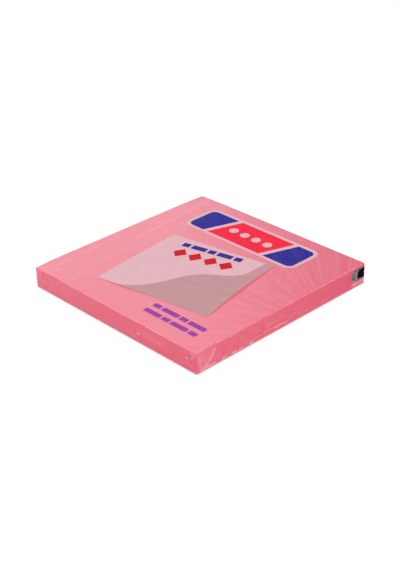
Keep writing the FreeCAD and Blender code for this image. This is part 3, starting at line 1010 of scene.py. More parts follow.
@dataclass
class NoteStack:
    """The block of notes: a flat box of sheets, each cut a little differently."""

    form: FilmForm
    count: int = 80
    corner: float = 0.42
    edge: float = 0.12
    foot: float = 0.1
    cut_depth: float = 0.035
    cut_bow: float = 0.2
    cut_turn: float = 3.0
    groove: float = 0.02
    seed: int = 7
    stations: Stations = field(default_factory=lambda: Stations(36))
    node: str = "note_block"

    def rows(self, low: Array, high: Array) -> Array:
        """Two rows a sheet, one in the groove below it and one at its middle.

        A row's inset is its sheet's own, which drifts along each side as a line with a cosine, plus
        the groove and the round of the top and bottom edges. The line starts at random within half
        the depth of cut and slopes by up to half of it. Rows are lowered in step with the drawn
        corners.

        Args:
            low: Lowest corner of the block.
            high: Highest corner of the block.

        Returns:
            Rows (m, 4n, 3), from the top down.
        """
        random = np.random.default_rng(self.seed)
        levels = np.linspace(high[2], low[2], 2 * self.count + 1)[1:]
        sheet = np.arange(len(levels)) // 2
        own = random.uniform(0.0, 1.0, (self.count, len(Side), 3))
        flat, normals, across = self.stations.ring(high[0], self.corner)
        side = self.stations.side_numbers
        start, slope, phase = (own[sheet][:, side, at] for at in range(3))
        place = across / high[0]
        drift = 0.5 * start + 0.25 * (1 + (2 * slope - 1) * place)
        drift *= 1.0 - self.cut_bow * (1.0 - np.cos(self.cut_turn * (place + 2.0 * phase)))
        in_groove = (np.arange(len(levels)) % 2 == 1)[:, None]
        upper = np.clip(1.0 - (high[2] - levels) / self.edge, 0.0, 1.0)
        lower = np.clip(1.0 - (levels - low[2]) / self.foot, 0.0, 1.0)
        rounding = self.edge * (1.0 - np.sqrt(1.0 - upper**2))
        rounding += self.foot * (1.0 - np.sqrt(1.0 - lower**2))
        inset = self.cut_depth * drift + self.groove * in_groove + rounding[:, None]
        ring = flat[None] - inset[..., None] * normals[None]
        lowered = self.form.droop(ring) * ((levels - low[2]) / (high[2] - low[2]))[:, None]
        return np.dstack([ring, levels[:, None] - lowered])

    def build(self) -> bpy.types.Object:
        """Make the block and dress it, with its faces and its cut edges in two papers.

        Returns:
            The block.
        """
        low, high = box_mm(self.node)
        rows = self.rows(low, high)
        grid = self.stations.filled(high[0] - self.edge, self.corner - self.edge)
        top = np.dstack([grid, high[2] - self.form.droop(grid)])
        points, faces = skin(top, rows, np.array([0.0, 0.0, low[2]]))
        cut = np.zeros(len(faces))
        first = self.stations.per_side**2
        cut[first : first + rows.shape[0] * rows.shape[1]] = 1
        papers = [NOTE_FACE.make(), NOTE_EDGE.make()]
        piece = make_object("notes", points, faces, papers, face_materials=cut)
        settle(piece, self.node, "pink_note_paper")
        return piece


@dataclass
class ReleaseSheet:
    """The release sheet under the last note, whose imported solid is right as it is."""

    node: str = "backing_sheet"

    def build(self) -> bpy.types.Object:
        """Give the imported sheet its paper.

        Returns:
            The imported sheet.
        """
        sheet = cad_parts[self.node]
        sheet.data.materials.clear()
        sheet.data.materials.append(RELEASE.make())
        log.info("%s: dressed", self.node)
        return sheet


@dataclass
class ShrinkFilm:
    """The film round the pad: an outer skin with all its ridges, and a smooth inner one."""

    form: FilmForm
    thickness: float = 0.03
    # Rows of the side: even ones, and fine ones across the foot's creases and the seal
    row_step: float = 0.25
    foot_crease: float = 0.85
    foot_crease_reach: float = 0.32
    foot_crease_clear: float = 0.4
    seal_reach: float = 2.6
    seal_clear: float = 3.5
    fine_rows: int = 9
    # A painted highlight along the middle of the top edge's round, and haze where it meets the side, on the
    # foot's round and underneath
    edge_highlight: float = 0.08
    turn_haze: float = 0.02
    foot_haze: float = 0.04
    floor_haze: float = 0.10
    floor_gathers: float = 0.25
    round_steps: int = 6
    foot_steps: int = 3
    floor_shares: tuple[float, ...] = (0.98, 0.94, 0.87, 0.74, 0.5, 0.2)
    outer: Stations = field(default_factory=lambda: Stations(190))
    inner: Stations = field(default_factory=lambda: Stations(16))
    node: str = "film_wrap"

    def levels(self) -> Array:
        """Heights of the side's rows, closer across the seal and the foot's creases.

        Returns:
            Heights above the table, from the top down.
        """
        form = self.form
        high, low = form.top - form.edge, form.foot
        even = np.linspace(high, low, round((high - low) / self.row_step) + 1)
        fine = np.linspace(-1.0, 1.0, self.fine_rows)
        seal = form.seal_height + form.seal_half * self.seal_reach * fine
        crease = self.foot_crease + self.foot_crease_reach * fine
        kept = even[np.abs(even - form.seal_height) > self.seal_clear * form.seal_half]
        kept = kept[np.abs(kept - self.foot_crease) > self.foot_crease_clear]
        return np.sort(np.concatenate([kept, seal, crease]))[::-1]

    def wall(self, stations: Stations, inset: float) -> tuple[Array, Array, Array, Array]:
        """One skin of the film, as a grid, rows and a centre, with the haze of all its points.

        The rows follow a quarter circle over the top edge, the levels of the side, a quarter circle
        under the foot, and shares of the outline to the middle of the underside.

        Args:
            stations: Places round the outline.
            inset: How far inside the outer face it lies: 0 for the outer skin, which has the ridges.

        Returns:
            Grid, rows, centre and haze.
        """
        form, ridged = self.form, inset == 0
        half, corner = form.half - inset, form.corner - inset
        edge, foot = form.edge - inset, form.foot - inset
        grid = stations.filled(half - edge, corner - edge)
        top = np.dstack([grid, form.height(grid, ridged) - inset])
        rows, hazes = [], [form.top_haze(grid).ravel()]
        side = stations.side_numbers

        for angle in np.linspace(0.0, math.pi / 2, self.round_steps + 1)[1:-1]:
            pulled = edge * (1.0 - math.sin(angle))
            ring = stations.ring(half - pulled, corner - pulled)[0]
            drop = edge * (1.0 - math.cos(angle))
            fade = math.cos(angle)
            level = form.height(ring, False) - inset - drop
            level += ridged * fade * (form.height(ring) - form.height(ring, False))
            rows.append(np.column_stack([ring, level]))
            # painted highlight: a pale line along the middle of the edge's round
            drawn = self.edge_highlight * math.sin(2.0 * angle)
            hazes.append(form.top_haze(ring) * fade + drawn + self.turn_haze * (1.0 - fade))

        flat, normals, across = stations.ring(half, corner)
        full = form.top - form.edge - form.foot
        lowering = form.droop(flat)
        for level in self.levels():
            out, haze = form.on_side(side, across, np.full(len(across), level))
            ring = flat + (ridged * out)[:, None] * normals
            share = (level - form.foot) / full
            rows.append(np.column_stack([ring, level - share * lowering]))
            hazes.append(haze)

        for angle in np.linspace(0.0, math.pi / 2, self.foot_steps + 1)[1:]:
            pulled = foot * (1.0 - math.cos(angle))
            ring = stations.ring(half - pulled, corner - pulled)[0]
            level = inset + foot * (1.0 - math.sin(angle))
            rows.append(np.column_stack([ring, np.full(len(ring), level)]))
            hazes.append(np.full(len(ring), self.foot_haze))

        last = rows[-1]
        for share in self.floor_shares:
            rows.append(last * [share, share, 1.0])
            hazes.append(self.floor_haze + self.floor_gathers * form.gathers(rows[-1][:, :2]))
        centre = np.array([0.0, 0.0, last[0, 2]])
        return top, np.array(rows), centre, np.concatenate([*hazes, [self.floor_haze]])

    def build(self) -> bpy.types.Object:
        """Make both skins as one shell, the inner one facing inwards, and dress it.

        Returns:
            The film.
        """
        *outer, outer_haze = self.wall(self.outer, 0.0)
        *inner, _ = self.wall(self.inner, self.thickness)
        outer_points, faces = skin(*outer)
        inner_points, inner_faces = skin(*inner)
        faces += [[corner + len(outer_points) for corner in face[::-1]] for face in inner_faces]
        points = np.vstack([outer_points, inner_points])
        haze = np.concatenate([outer_haze, np.zeros(len(inner_points))])
        piece = make_object("film", points, faces, [FILM.make()], haze=haze)
        settle(piece, self.node, "clear_shrink_film")
        return piece


# Print


@dataclass
class Figure:
    """A flat shape cut into faces, with the rim that goes once round it anticlockwise."""

    points: Array
    faces: Faces
    rim: Array

    def upright(self) -> "Figure":
        """The figure with its faces up: turned over if its rim runs clockwise.

        Returns:
            The figure itself, or a new one.
        """
        x, y = self.points[self.rim].T
        if float(np.sum(x * np.roll(y, -1) - y * np.roll(x, -1))) > 0:
            return self
        return Figure(self.points, [face[::-1] for face in self.faces], self.rim[::-1])


def gridded(grid: Array) -> Figure:
    """Figure of a grid of points: a face in each cell, and the four edges as its rim.

    Args:
        grid: Points (n, m, 2).

    Returns:
        The figure.
    """
    index = np.arange(grid.shape[0] * grid.shape[1]).reshape(grid.shape[:2])
    faces = np.stack([index[:-1, :-1], index[1:, :-1], index[1:, 1:], index[:-1, 1:]], axis=-1)
    rim = np.concatenate([index[:-1, 0], index[-1, :-1], index[:0:-1, -1], index[0, :0:-1]])
    return Figure(grid.reshape(-1, 2), faces.reshape(-1, 4).tolist(), rim).upright()


def ruled(first: Array, second: Array, steps: int) -> Figure:
    """Surface ruled between two edges: a share of one and the rest of the other.

    Args:
        first: One edge (n, 2).
        second: The other edge, in the same direction (n, 2).
        steps: Steps from one to the other.

    Returns:
        The figure.
    """
    share = np.linspace(0.0, 1.0, steps + 1)[None, :, None]
    return gridded((1.0 - share) * first[:, None] + share * second[:, None])


def rings_in(outline: Array, steps: int) -> Figure:
    """Rings that shrink from an outline to its middle: the middle plus a share of the way out.

    Args:
        outline: Points once round the figure (n, 2).
        steps: Rings from the outline to the middle.

    Returns:
        The figure.
    """
    middle = (outline.min(0) + outline.max(0)) / 2
    share = np.linspace(1.0, 0.0, steps + 1)[:-1, None, None]
    rings = middle + share * (outline - middle)[None]
    index = np.arange(rings.shape[0] * rings.shape[1]).reshape(rings.shape[:2])
    after = np.roll(index, -1, axis=1)
    bands = np.stack([index[:-1], after[:-1], after[1:], index[1:]], axis=-1)
    last = np.full(index.shape[1], index.size)
    fan = np.stack([index[-1], after[-1], last], axis=-1)
    points = np.vstack([rings.reshape(-1, 2), middle])
    return Figure(points, bands.reshape(-1, 4).tolist() + fan.tolist(), index[0]).upright()


def straight(start: Point, end: Point, count: int) -> Array:
    """A straight edge with count points."""
    return np.linspace(start, end, count)


def hollow(start: Point, end: Point, radius: float, count: int, steps: Point = (0, 1)) -> Array:
    """An arc from start to end that bulges to the left of the way, with count points.

    Its centre lies to the right of the chord's middle, at the root of the radius squared less half
    the chord squared.

    Args:
        start: First end.
        end: Last end.
        radius: Its radius.
        count: Points.
        steps: Shares of the arc to start and stop at.

    Returns:
        Points (count, 2).
    """
    first, last = np.array(start), np.array(end)
    chord = last - first
    length = float(np.linalg.norm(chord))
    right = np.array([chord[1], -chord[0]]) / length
    centre = (first + last) / 2 + right * math.sqrt(radius**2 - (length / 2) ** 2)
    low, high = (math.atan2(*(point - centre)[::-1]) for point in (first, last))
    turn = (high - low + math.pi) % (2 * math.pi) - math.pi
    angles = low + turn * np.linspace(*steps, count)
    return centre + radius * np.column_stack([np.cos(angles), np.sin(angles)])


def curve_through(knots: Array, first: Point, last: Point, count: int) -> Array:
    """Smooth cubic curve through knots, with given directions at its ends.

    Its slopes at the knots make the curvature run on, by one set of linear equations, and each
    stretch is Hermite's cubic of its ends and slopes.

    Args:
        knots: Points to pass through (n, 2).
        first: Direction at the first knot.
        last: Direction at the last knot.
        count: Points on the curve.

    Returns:
        Points (count, 2).
    """
    gaps = np.linalg.norm(np.diff(knots, axis=0), axis=1)
    rise = np.diff(knots, axis=0) / gaps[:, None]
    inverse = 1.0 / gaps
    inner = np.arange(1, len(knots) - 1)
    matrix = np.eye(len(knots))
    matrix[inner, inner] = 2.0 * (inverse[:-1] + inverse[1:])
    matrix[inner, inner - 1], matrix[inner, inner + 1] = inverse[:-1], inverse[1:]
    given = np.zeros(knots.shape)
    given[0], given[-1] = first, last
    given[inner] = 3.0 * (rise[:-1] * inverse[:-1, None] + rise[1:] * inverse[1:, None])
    slopes = np.linalg.solve(matrix, given)
    places = np.concatenate([[0.0], np.cumsum(gaps)])
    where = np.linspace(0.0, places[-1], count)
    piece = np.clip(np.searchsorted(places, where, side="right") - 1, 0, len(gaps) - 1)
    gap = gaps[piece][:, None]
    t = ((where - places[piece]) / gaps[piece])[:, None]
    start, end = knots[piece], knots[piece + 1]
    return (
        (2 * t**3 - 3 * t**2 + 1) * start
        + (t**3 - 2 * t**2 + t) * gap * slopes[piece]
        + (3 * t**2 - 2 * t**3) * end
        + (t**3 - t**2) * gap * slopes[piece + 1]
    )


def rounded(corners: list[Point], radii: list[float], step: float = 0.45, fewest: int = 4) -> Array:
    """Outline of a polygon with round corners, its edges divided into short steps.

    Each corner becomes an arc that touches both edges, drawn by turning from one edge's outward
    direction to the next about a centre that lies radius over the sine of half the angle away.

    Args:
        corners: Corners, anticlockwise.
        radii: A radius for each, or 0.
        step: Longest step along it.
        fewest: Fewest points in an arc.

    Returns:
        Points once round it (n, 2).
    """
    count, stretches = len(corners), []
    places = np.array(corners, float)
    for at in range(count):
        before, here, after = places[at - 1], places[at], places[(at + 1) % count]
        into = (here - before) / np.linalg.norm(here - before)
        away = (after - here) / np.linalg.norm(after - here)
        turn = math.atan2(into[0] * away[1] - into[1] * away[0], float(into @ away))
        cut = radii[at] * math.tan(turn / 2)
        if radii[at]:
            centre = here - into * cut + radii[at] * np.array([-into[1], into[0]])
            start = math.atan2(-into[0], into[1])
            points = max(fewest, round(radii[at] * turn / step) + 1)
            angles = start + turn * np.linspace(0.0, 1.0, points)
            stretches.append(centre + radii[at] * np.column_stack([np.cos(angles), np.sin(angles)]))
        else:
            stretches.append(here[None])
    joined = []
    for at, stretch in enumerate(stretches):
        end, start = stretch[-1], stretches[(at + 1) % count][0]
        steps = max(1, math.ceil(float(np.linalg.norm(start - end)) / step))
        joined += [stretch, np.linspace(end, start, steps + 1)[1:-1]]
    return np.vstack(joined)


def bar(left: float, low: float, width: float, height: float) -> list[Point]:
    """Corners of an upright rectangle, anticlockwise from its lower left one."""
    return [(left, low), (left + width, low), (left + width, low + height), (left, low + height)]


@dataclass
class Print:
    """Prints figures on the film: each a closed slab that follows the film's form."""

    form: FilmForm
    thickness: float = 0.010
    side_thickness: float = 0.02
    ring_step: float = 0.5
    fewest_rings: int = 3

    def press(
        self,
        name: str,
        node: str,
        slot: str,
        ink: InkFinish,
        figures: list[Figure],
        layer: Layer,
        round_corner: bool = False,
    ) -> bpy.types.Object:
        """Make one printed piece of one or more figures.

        Each figure's points go onto the film twice, at the bottom and the top of the ink, and a
        wall along the rim joins them.

        Args:
            name: Name of the piece.
            node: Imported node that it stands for.
            slot: The record's material slot.
            ink: Its finish.
            figures: Flat figures, on the top or on the unrolled sides.
            layer: Which printed layer it is.
            round_corner: Whether it lies round the far right corner and not on the top.

        Returns:
            The piece.
        """
        place: Place = self.form.round_corner if round_corner else self.form.on_top
        thickness = self.side_thickness if round_corner else self.thickness
        points, faces, hazes, first = [], [], [], 0
        for figure in figures:
            count = len(figure.points)
            upper, lower = first + figure.rim, first + count + figure.rim
            wall = np.stack([lower, np.roll(lower, -1), np.roll(upper, -1), upper], axis=-1)
            faces += [[first + corner for corner in face] for face in figure.faces]
            faces += [[first + count + corner for corner in face[::-1]] for face in figure.faces]
            faces += wall.tolist()
            points += [place(figure.points, layer.value + thickness), place(figure.points, layer.value)]
            # the inks on the top take the film's haze, which drives their painted sheen
            haze = np.zeros(count) if round_corner else self.form.top_haze(figure.points)
            hazes += [haze, haze]
            first += 2 * count
        piece = make_object(name, np.vstack(points), faces, [ink.make()], haze=np.concatenate(hazes))
        settle(piece, node, slot)
        return piece

    def cut(self, outlines: list[Array]) -> list[Figure]:
        """Fill outlines with rings, with as many as half the narrower width of each needs.

        Args:
            outlines: Points once round each figure (n, 2).

        Returns:
            A figure for each.
        """
        reaches = [float(np.ptp(line, axis=0).min()) / 2 for line in outlines]
        counts = [max(self.fewest_rings, round(reach / self.ring_step)) for reach in reaches]
        return [rings_in(line, count) for line, count in zip(outlines, counts)]


@dataclass
class CurledSheet:
    """The printed picture of a tilted sheet with its corner lifted, its shaded side and its shadow."""

    printer: Print
    left_lean: float = 4.3
    right_rise: float = 7.0
    right_lean: float = 7.4
    top_rise: float = 6.0
    hollow_radius: float = 185.0
    tip: Point = (3.0, 1.4)
    neck_drop: float = 8.6
    bend: Point = (4.66, -4.68)
    waist: Point = (-0.74, -16.73)
    foot_run: float = 6.7
    shadow_drop: float = 0.45
    shadow_reach: float = 0.45
    shadow_ends: Point = (0.02, 0.98)
    step_count: int = 90
    neck_steps: int = 16
    curl_steps: int = 64
    beside_steps: int = 3
    below_steps: int = 2

    def __post_init__(self) -> None:
        """Work the picture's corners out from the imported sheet's box."""
        low, high = box_mm("print_sheet")
        self.near_left = (low[0] + self.left_lean, low[1])
        self.near_right = (high[0], low[1] + self.right_rise)
        self.far_tip = (high[0] - self.right_lean, high[1])
        self.neck = (self.far_tip[0] - self.tip[0], self.far_tip[1] - self.tip[1])
        self.far_left = (low[0], self.neck[1] - self.top_rise)
        run, rise = np.subtract(self.near_right, self.near_left)
        self.near_way = np.array([run, rise]) / math.hypot(run, rise)
        self.foot = tuple(np.array(self.near_left) + self.foot_run / self.near_way[0] * self.near_way)

    def right_edge(self, count: int, steps: Point = (0, 1)) -> Array:
        """The hollow right edge, from the near corner up to the tip."""
        return hollow(self.near_right, self.far_tip, self.hollow_radius, count, steps)

    def sheet(self) -> Figure:
        """The pale sheet: a Coons patch of its four edges, the far one with the step to the tip.

        Returns:
            The sheet's figure.
        """
        count = self.step_count
        near = straight(self.near_left, self.near_right, count)
        left = straight(self.near_left, self.far_left, count)
        span = self.far_tip[0] - self.far_left[0]
        bent = round(count * (self.neck[0] - self.far_left[0]) / span)
        lifted = straight(self.neck, self.far_tip, count - bent + 1)
        far = np.vstack([straight(self.far_left, self.neck, bent), lifted[1:]])
        return gridded(coons(near, self.right_edge(count), far, left))

    def inner_edge(self) -> Array:
        """The curl's inner edge: straight down from the neck, then a smooth curve to the foot.

        Returns:
            Points (n, 2), from the neck.
        """
        turn = (self.neck[0], self.neck[1] - self.neck_drop)
        knots = np.array([turn, self.bend, self.waist, self.foot])
        curve = curve_through(knots, (0.0, -1.0), tuple(-self.near_way), self.step_count)
        return np.vstack([straight(self.neck, turn, self.neck_steps)[:-1], curve])

    def curl(self) -> Figure:
        """The shaded side of the sheet, ruled from its inner edge to the right edge."""
        inner = self.inner_edge()
        return ruled(inner, self.right_edge(len(inner))[::-1], self.curl_steps)

    def shadows(self) -> list[Figure]:
        """Two slivers of shadow, each between an arc and its chord.

        Returns:
            One beside the hollow right edge, and one below the near edge's left part.
        """
        count, ends = self.step_count, self.shadow_ends
        shares = np.linspace(*ends, count)[:, None]
        chord = np.array(self.near_right) + shares * np.subtract(self.far_tip, self.near_right)
        beside = ruled(self.right_edge(count, ends), chord, self.beside_steps)
        start = np.array(self.near_left)
        end = start + self.shadow_reach * np.subtract(self.near_right, self.near_left)
        length = float(np.linalg.norm(end - start))
        radius = (length**2 / 4 + self.shadow_drop**2) / (2 * self.shadow_drop)
        bowed = hollow(tuple(end), self.near_left, radius, count, ends)
        return [beside, ruled(bowed, end + shares * (start - end), self.below_steps)]

    def build(self) -> None:
        """Print the sheet, its shaded side and its shadow."""
        press = self.printer.press
        press("printed_sheet", "print_sheet", "pale_ink", PALE_INK, [self.sheet()], Layer.FIRST)
        press("printed_curl", "print_sheet_curl", "grey_ink", GREY_INK, [self.curl()], Layer.SECOND)
        shadows = self.shadows()
        press("printed_shadow", "print_sheet_shadow", "deep_pink_ink", SHADOW_INK, shadows, Layer.FIRST)


@dataclass
class TitleRows:
    """The tilted title on the pale sheet: a row of red lozenges and a row of blue bars.

    Its frame's origin lies right of the sheet's far left corner and down from it.
    """

    printer: Print
    corner: Point
    right: float = 9.1
    down: float = 12.4
    tilt: float = 12.5
    margin: float = 0.8
    lozenges: int = 4
    lozenge_width: float = 5.2
    lozenge_height: float = 6.0
    lozenge_gap: float = 0.8
    row_gap: float = 1.5
    bar_height: float = 2.5
    bar_gap: float = 0.9
    bar_widths: tuple[float, ...] = (2.8, 5.6, 2.8, 5.6, 2.8)

    def turned(self, corners: list[Point]) -> Array:
        """Outline of a figure of the rows, turned by the tilt about the origin.

        Args:
            corners: The figure's corners in the title's own frame.

        Returns:
            Points once round it (n, 2).
        """
        angle = math.radians(self.tilt)
        turn = np.array([[math.cos(angle), math.sin(angle)], [-math.sin(angle), math.cos(angle)]])
        origin = (self.corner[0] + self.right, self.corner[1] - self.down)
        return rounded(corners, [0.0] * len(corners)) @ turn + origin

    def build(self) -> None:
        """Print both rows."""
        wide, high, low = self.lozenge_width, self.lozenge_height, self.margin
        waist, lozenges = low + high / 2, []
        for at in range(self.lozenges):
            left = self.margin + at * (wide + self.lozenge_gap)
            middle = left + wide / 2
            corners = [(middle, low), (left + wide, waist), (middle, low + high), (left, waist)]
            lozenges.append(self.turned(corners))
        bars, left, base = [], self.margin, low + high + self.row_gap
        for width in self.bar_widths:
            bars.append(self.turned(bar(left, base, width, self.bar_height)))
            left += width + self.bar_gap
        press, red, blue = self.printer.press, self.printer.cut(lozenges), self.printer.cut(bars)
        press("printed_lozenges", "print_title_lozenges", "red_ink", DEEP_RED_INK, red, Layer.SECOND)
        press("printed_title_bars", "print_title_bars", "blue_ink", BLUE_INK, blue, Layer.SECOND)


@dataclass
class NoteBars:
    """The two rows of purple bars near the right corner."""

    printer: Print
    height: float = 1.9
    gap: float = 0.8
    row_gap: float = 1.9
    long_bar: float = 7.0
    short_bar: float = 3.1
    rows: int = 2
    node: str = "print_note_bars"

    def build(self) -> None:
        """Print the rows, each of two long and two short bars, in turn from either end."""
        low, _ = box_mm(self.node)
        bars = []
        for row in range(self.rows):
            widths = [self.long_bar, self.short_bar] * 2
            left, base = low[0], low[1] + row * (self.height + self.row_gap)
            for width in widths[::-1] if row % 2 else widths:
                bars.append(rounded(bar(left, base, width, self.height), [0.0] * 4))
                left += width + self.gap
        figures = self.printer.cut(bars)
        self.printer.press("printed_bars", self.node, "purple_ink", PURPLE_INK, figures, Layer.FIRST)


@dataclass
class Banner:
    """The banner at the far edge: a pale ground, slanting blue ends, a red middle and pale discs."""

    printer: Print
    corner: float = 3.6
    border: float = 1.4
    end_width: float = 7.6
    gap: float = 1.9
    lean: float = 4.6
    discs: int = 4
    disc: float = 3.4
    pitch: float = 5.2
    disc_points: int = 40

    def build(self) -> None:
        """Print the ground and what lies on it."""
        low, high = box_mm("print_banner_ground")
        left, right = low[0] + self.border, high[0] - self.border
        near, far = low[1] + self.border, high[1] - self.border
        inner, lean, wide = self.corner - self.border, self.lean, self.end_width
        size = high - low
        ground = rounded(bar(low[0], low[1], size[0], size[1]), [self.corner] * 4)
        left_end = [(left, near), (left + wide, near), (left + wide + lean, far), (left, far)]
        start = right - wide - lean
        right_end = [(start, near), (right, near), (right, far), (start + lean, far)]
        first, last = left + wide + self.gap, start - self.gap
        middle = rounded([(first, near), (last, near), (last + lean, far), (first + lean, far)], [0.0] * 4)
        ends = [rounded(left_end, [inner, 0, 0, inner]), rounded(right_end, [0, inner, inner, 0])]
        turn = np.linspace(0.0, 2 * math.pi, self.disc_points, endpoint=False)
        circle = self.disc / 2 * np.column_stack([np.cos(turn), np.sin(turn)])
        centre = (low[:2] + high[:2]) / 2
        offsets = (np.arange(self.discs) - (self.discs - 1) / 2) * self.pitch
        discs = [circle + centre + [offset, 0.0] for offset in offsets]
        cut, press = self.printer.cut, self.printer.press
        press("printed_ground", "print_banner_ground", "pale_ink", PALE_INK, cut([ground]), Layer.FIRST)
        press("printed_ends", "print_banner_ends", "blue_ink", BLUE_INK, cut(ends), Layer.SECOND)
        press("printed_middle", "print_banner_middle", "red_ink", RED_INK, cut([middle]), Layer.SECOND)
        press("printed_discs", "print_banner_discs", "pale_ink", PALE_INK, cut(discs), Layer.THIRD)


@dataclass
class CornerPrint:
    """The silver patch round the far right corner, with the dark round-ended mark on it."""

    printer: Print
    patch_corner: float = 0.4
    mark_end: float = 1.6
    step: float = 0.3

    def unrolled(self, node: str) -> tuple[float, float, float, float]:
        """Left end, right end, low and high edge of a node's outline on the unrolled sides.

        Args:
            node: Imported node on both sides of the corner.

        Returns:
            Its limits, along the film from the corner's middle and above the table.
        """
        form = self.printer.form
        low, high = box_mm(node)
        arc = form.corner * math.pi / 4
        core = form.half - form.corner
        return low[1] - core - arc, core - low[0] + arc, low[2], high[2]

    def build(self) -> None:
        """Print the patch and the mark."""
        left, right, low, high = self.unrolled("print_corner_patch")
        patch = rounded(bar(left, low, right - left, high - low), [self.patch_corner] * 4, self.step)
        left, right, low, high = self.unrolled("print_corner_mark")
        ends = [self.mark_end, 0.0, 0.0, self.mark_end]
        mark = rounded(bar(left, low, right - left, high - low), ends, self.step)
        cut, press = self.printer.cut, self.printer.press
        silver, black = cut([patch]), cut([mark])
        press("printed_patch", "print_corner_patch", "silver_ink", SILVER_INK, silver, Layer.FIRST, True)
        press("printed_mark", "print_corner_mark", "black_ink", BLACK_INK, black, Layer.THIRD, True)


# The studio


@dataclass(frozen=True)
class Lamp:
    """A soft square lamp, by its direction from the pad, its distance, its size and its power."""

    name: str
    azimuth: float
    elevation: float
    distance: float
    size: float
    power: float


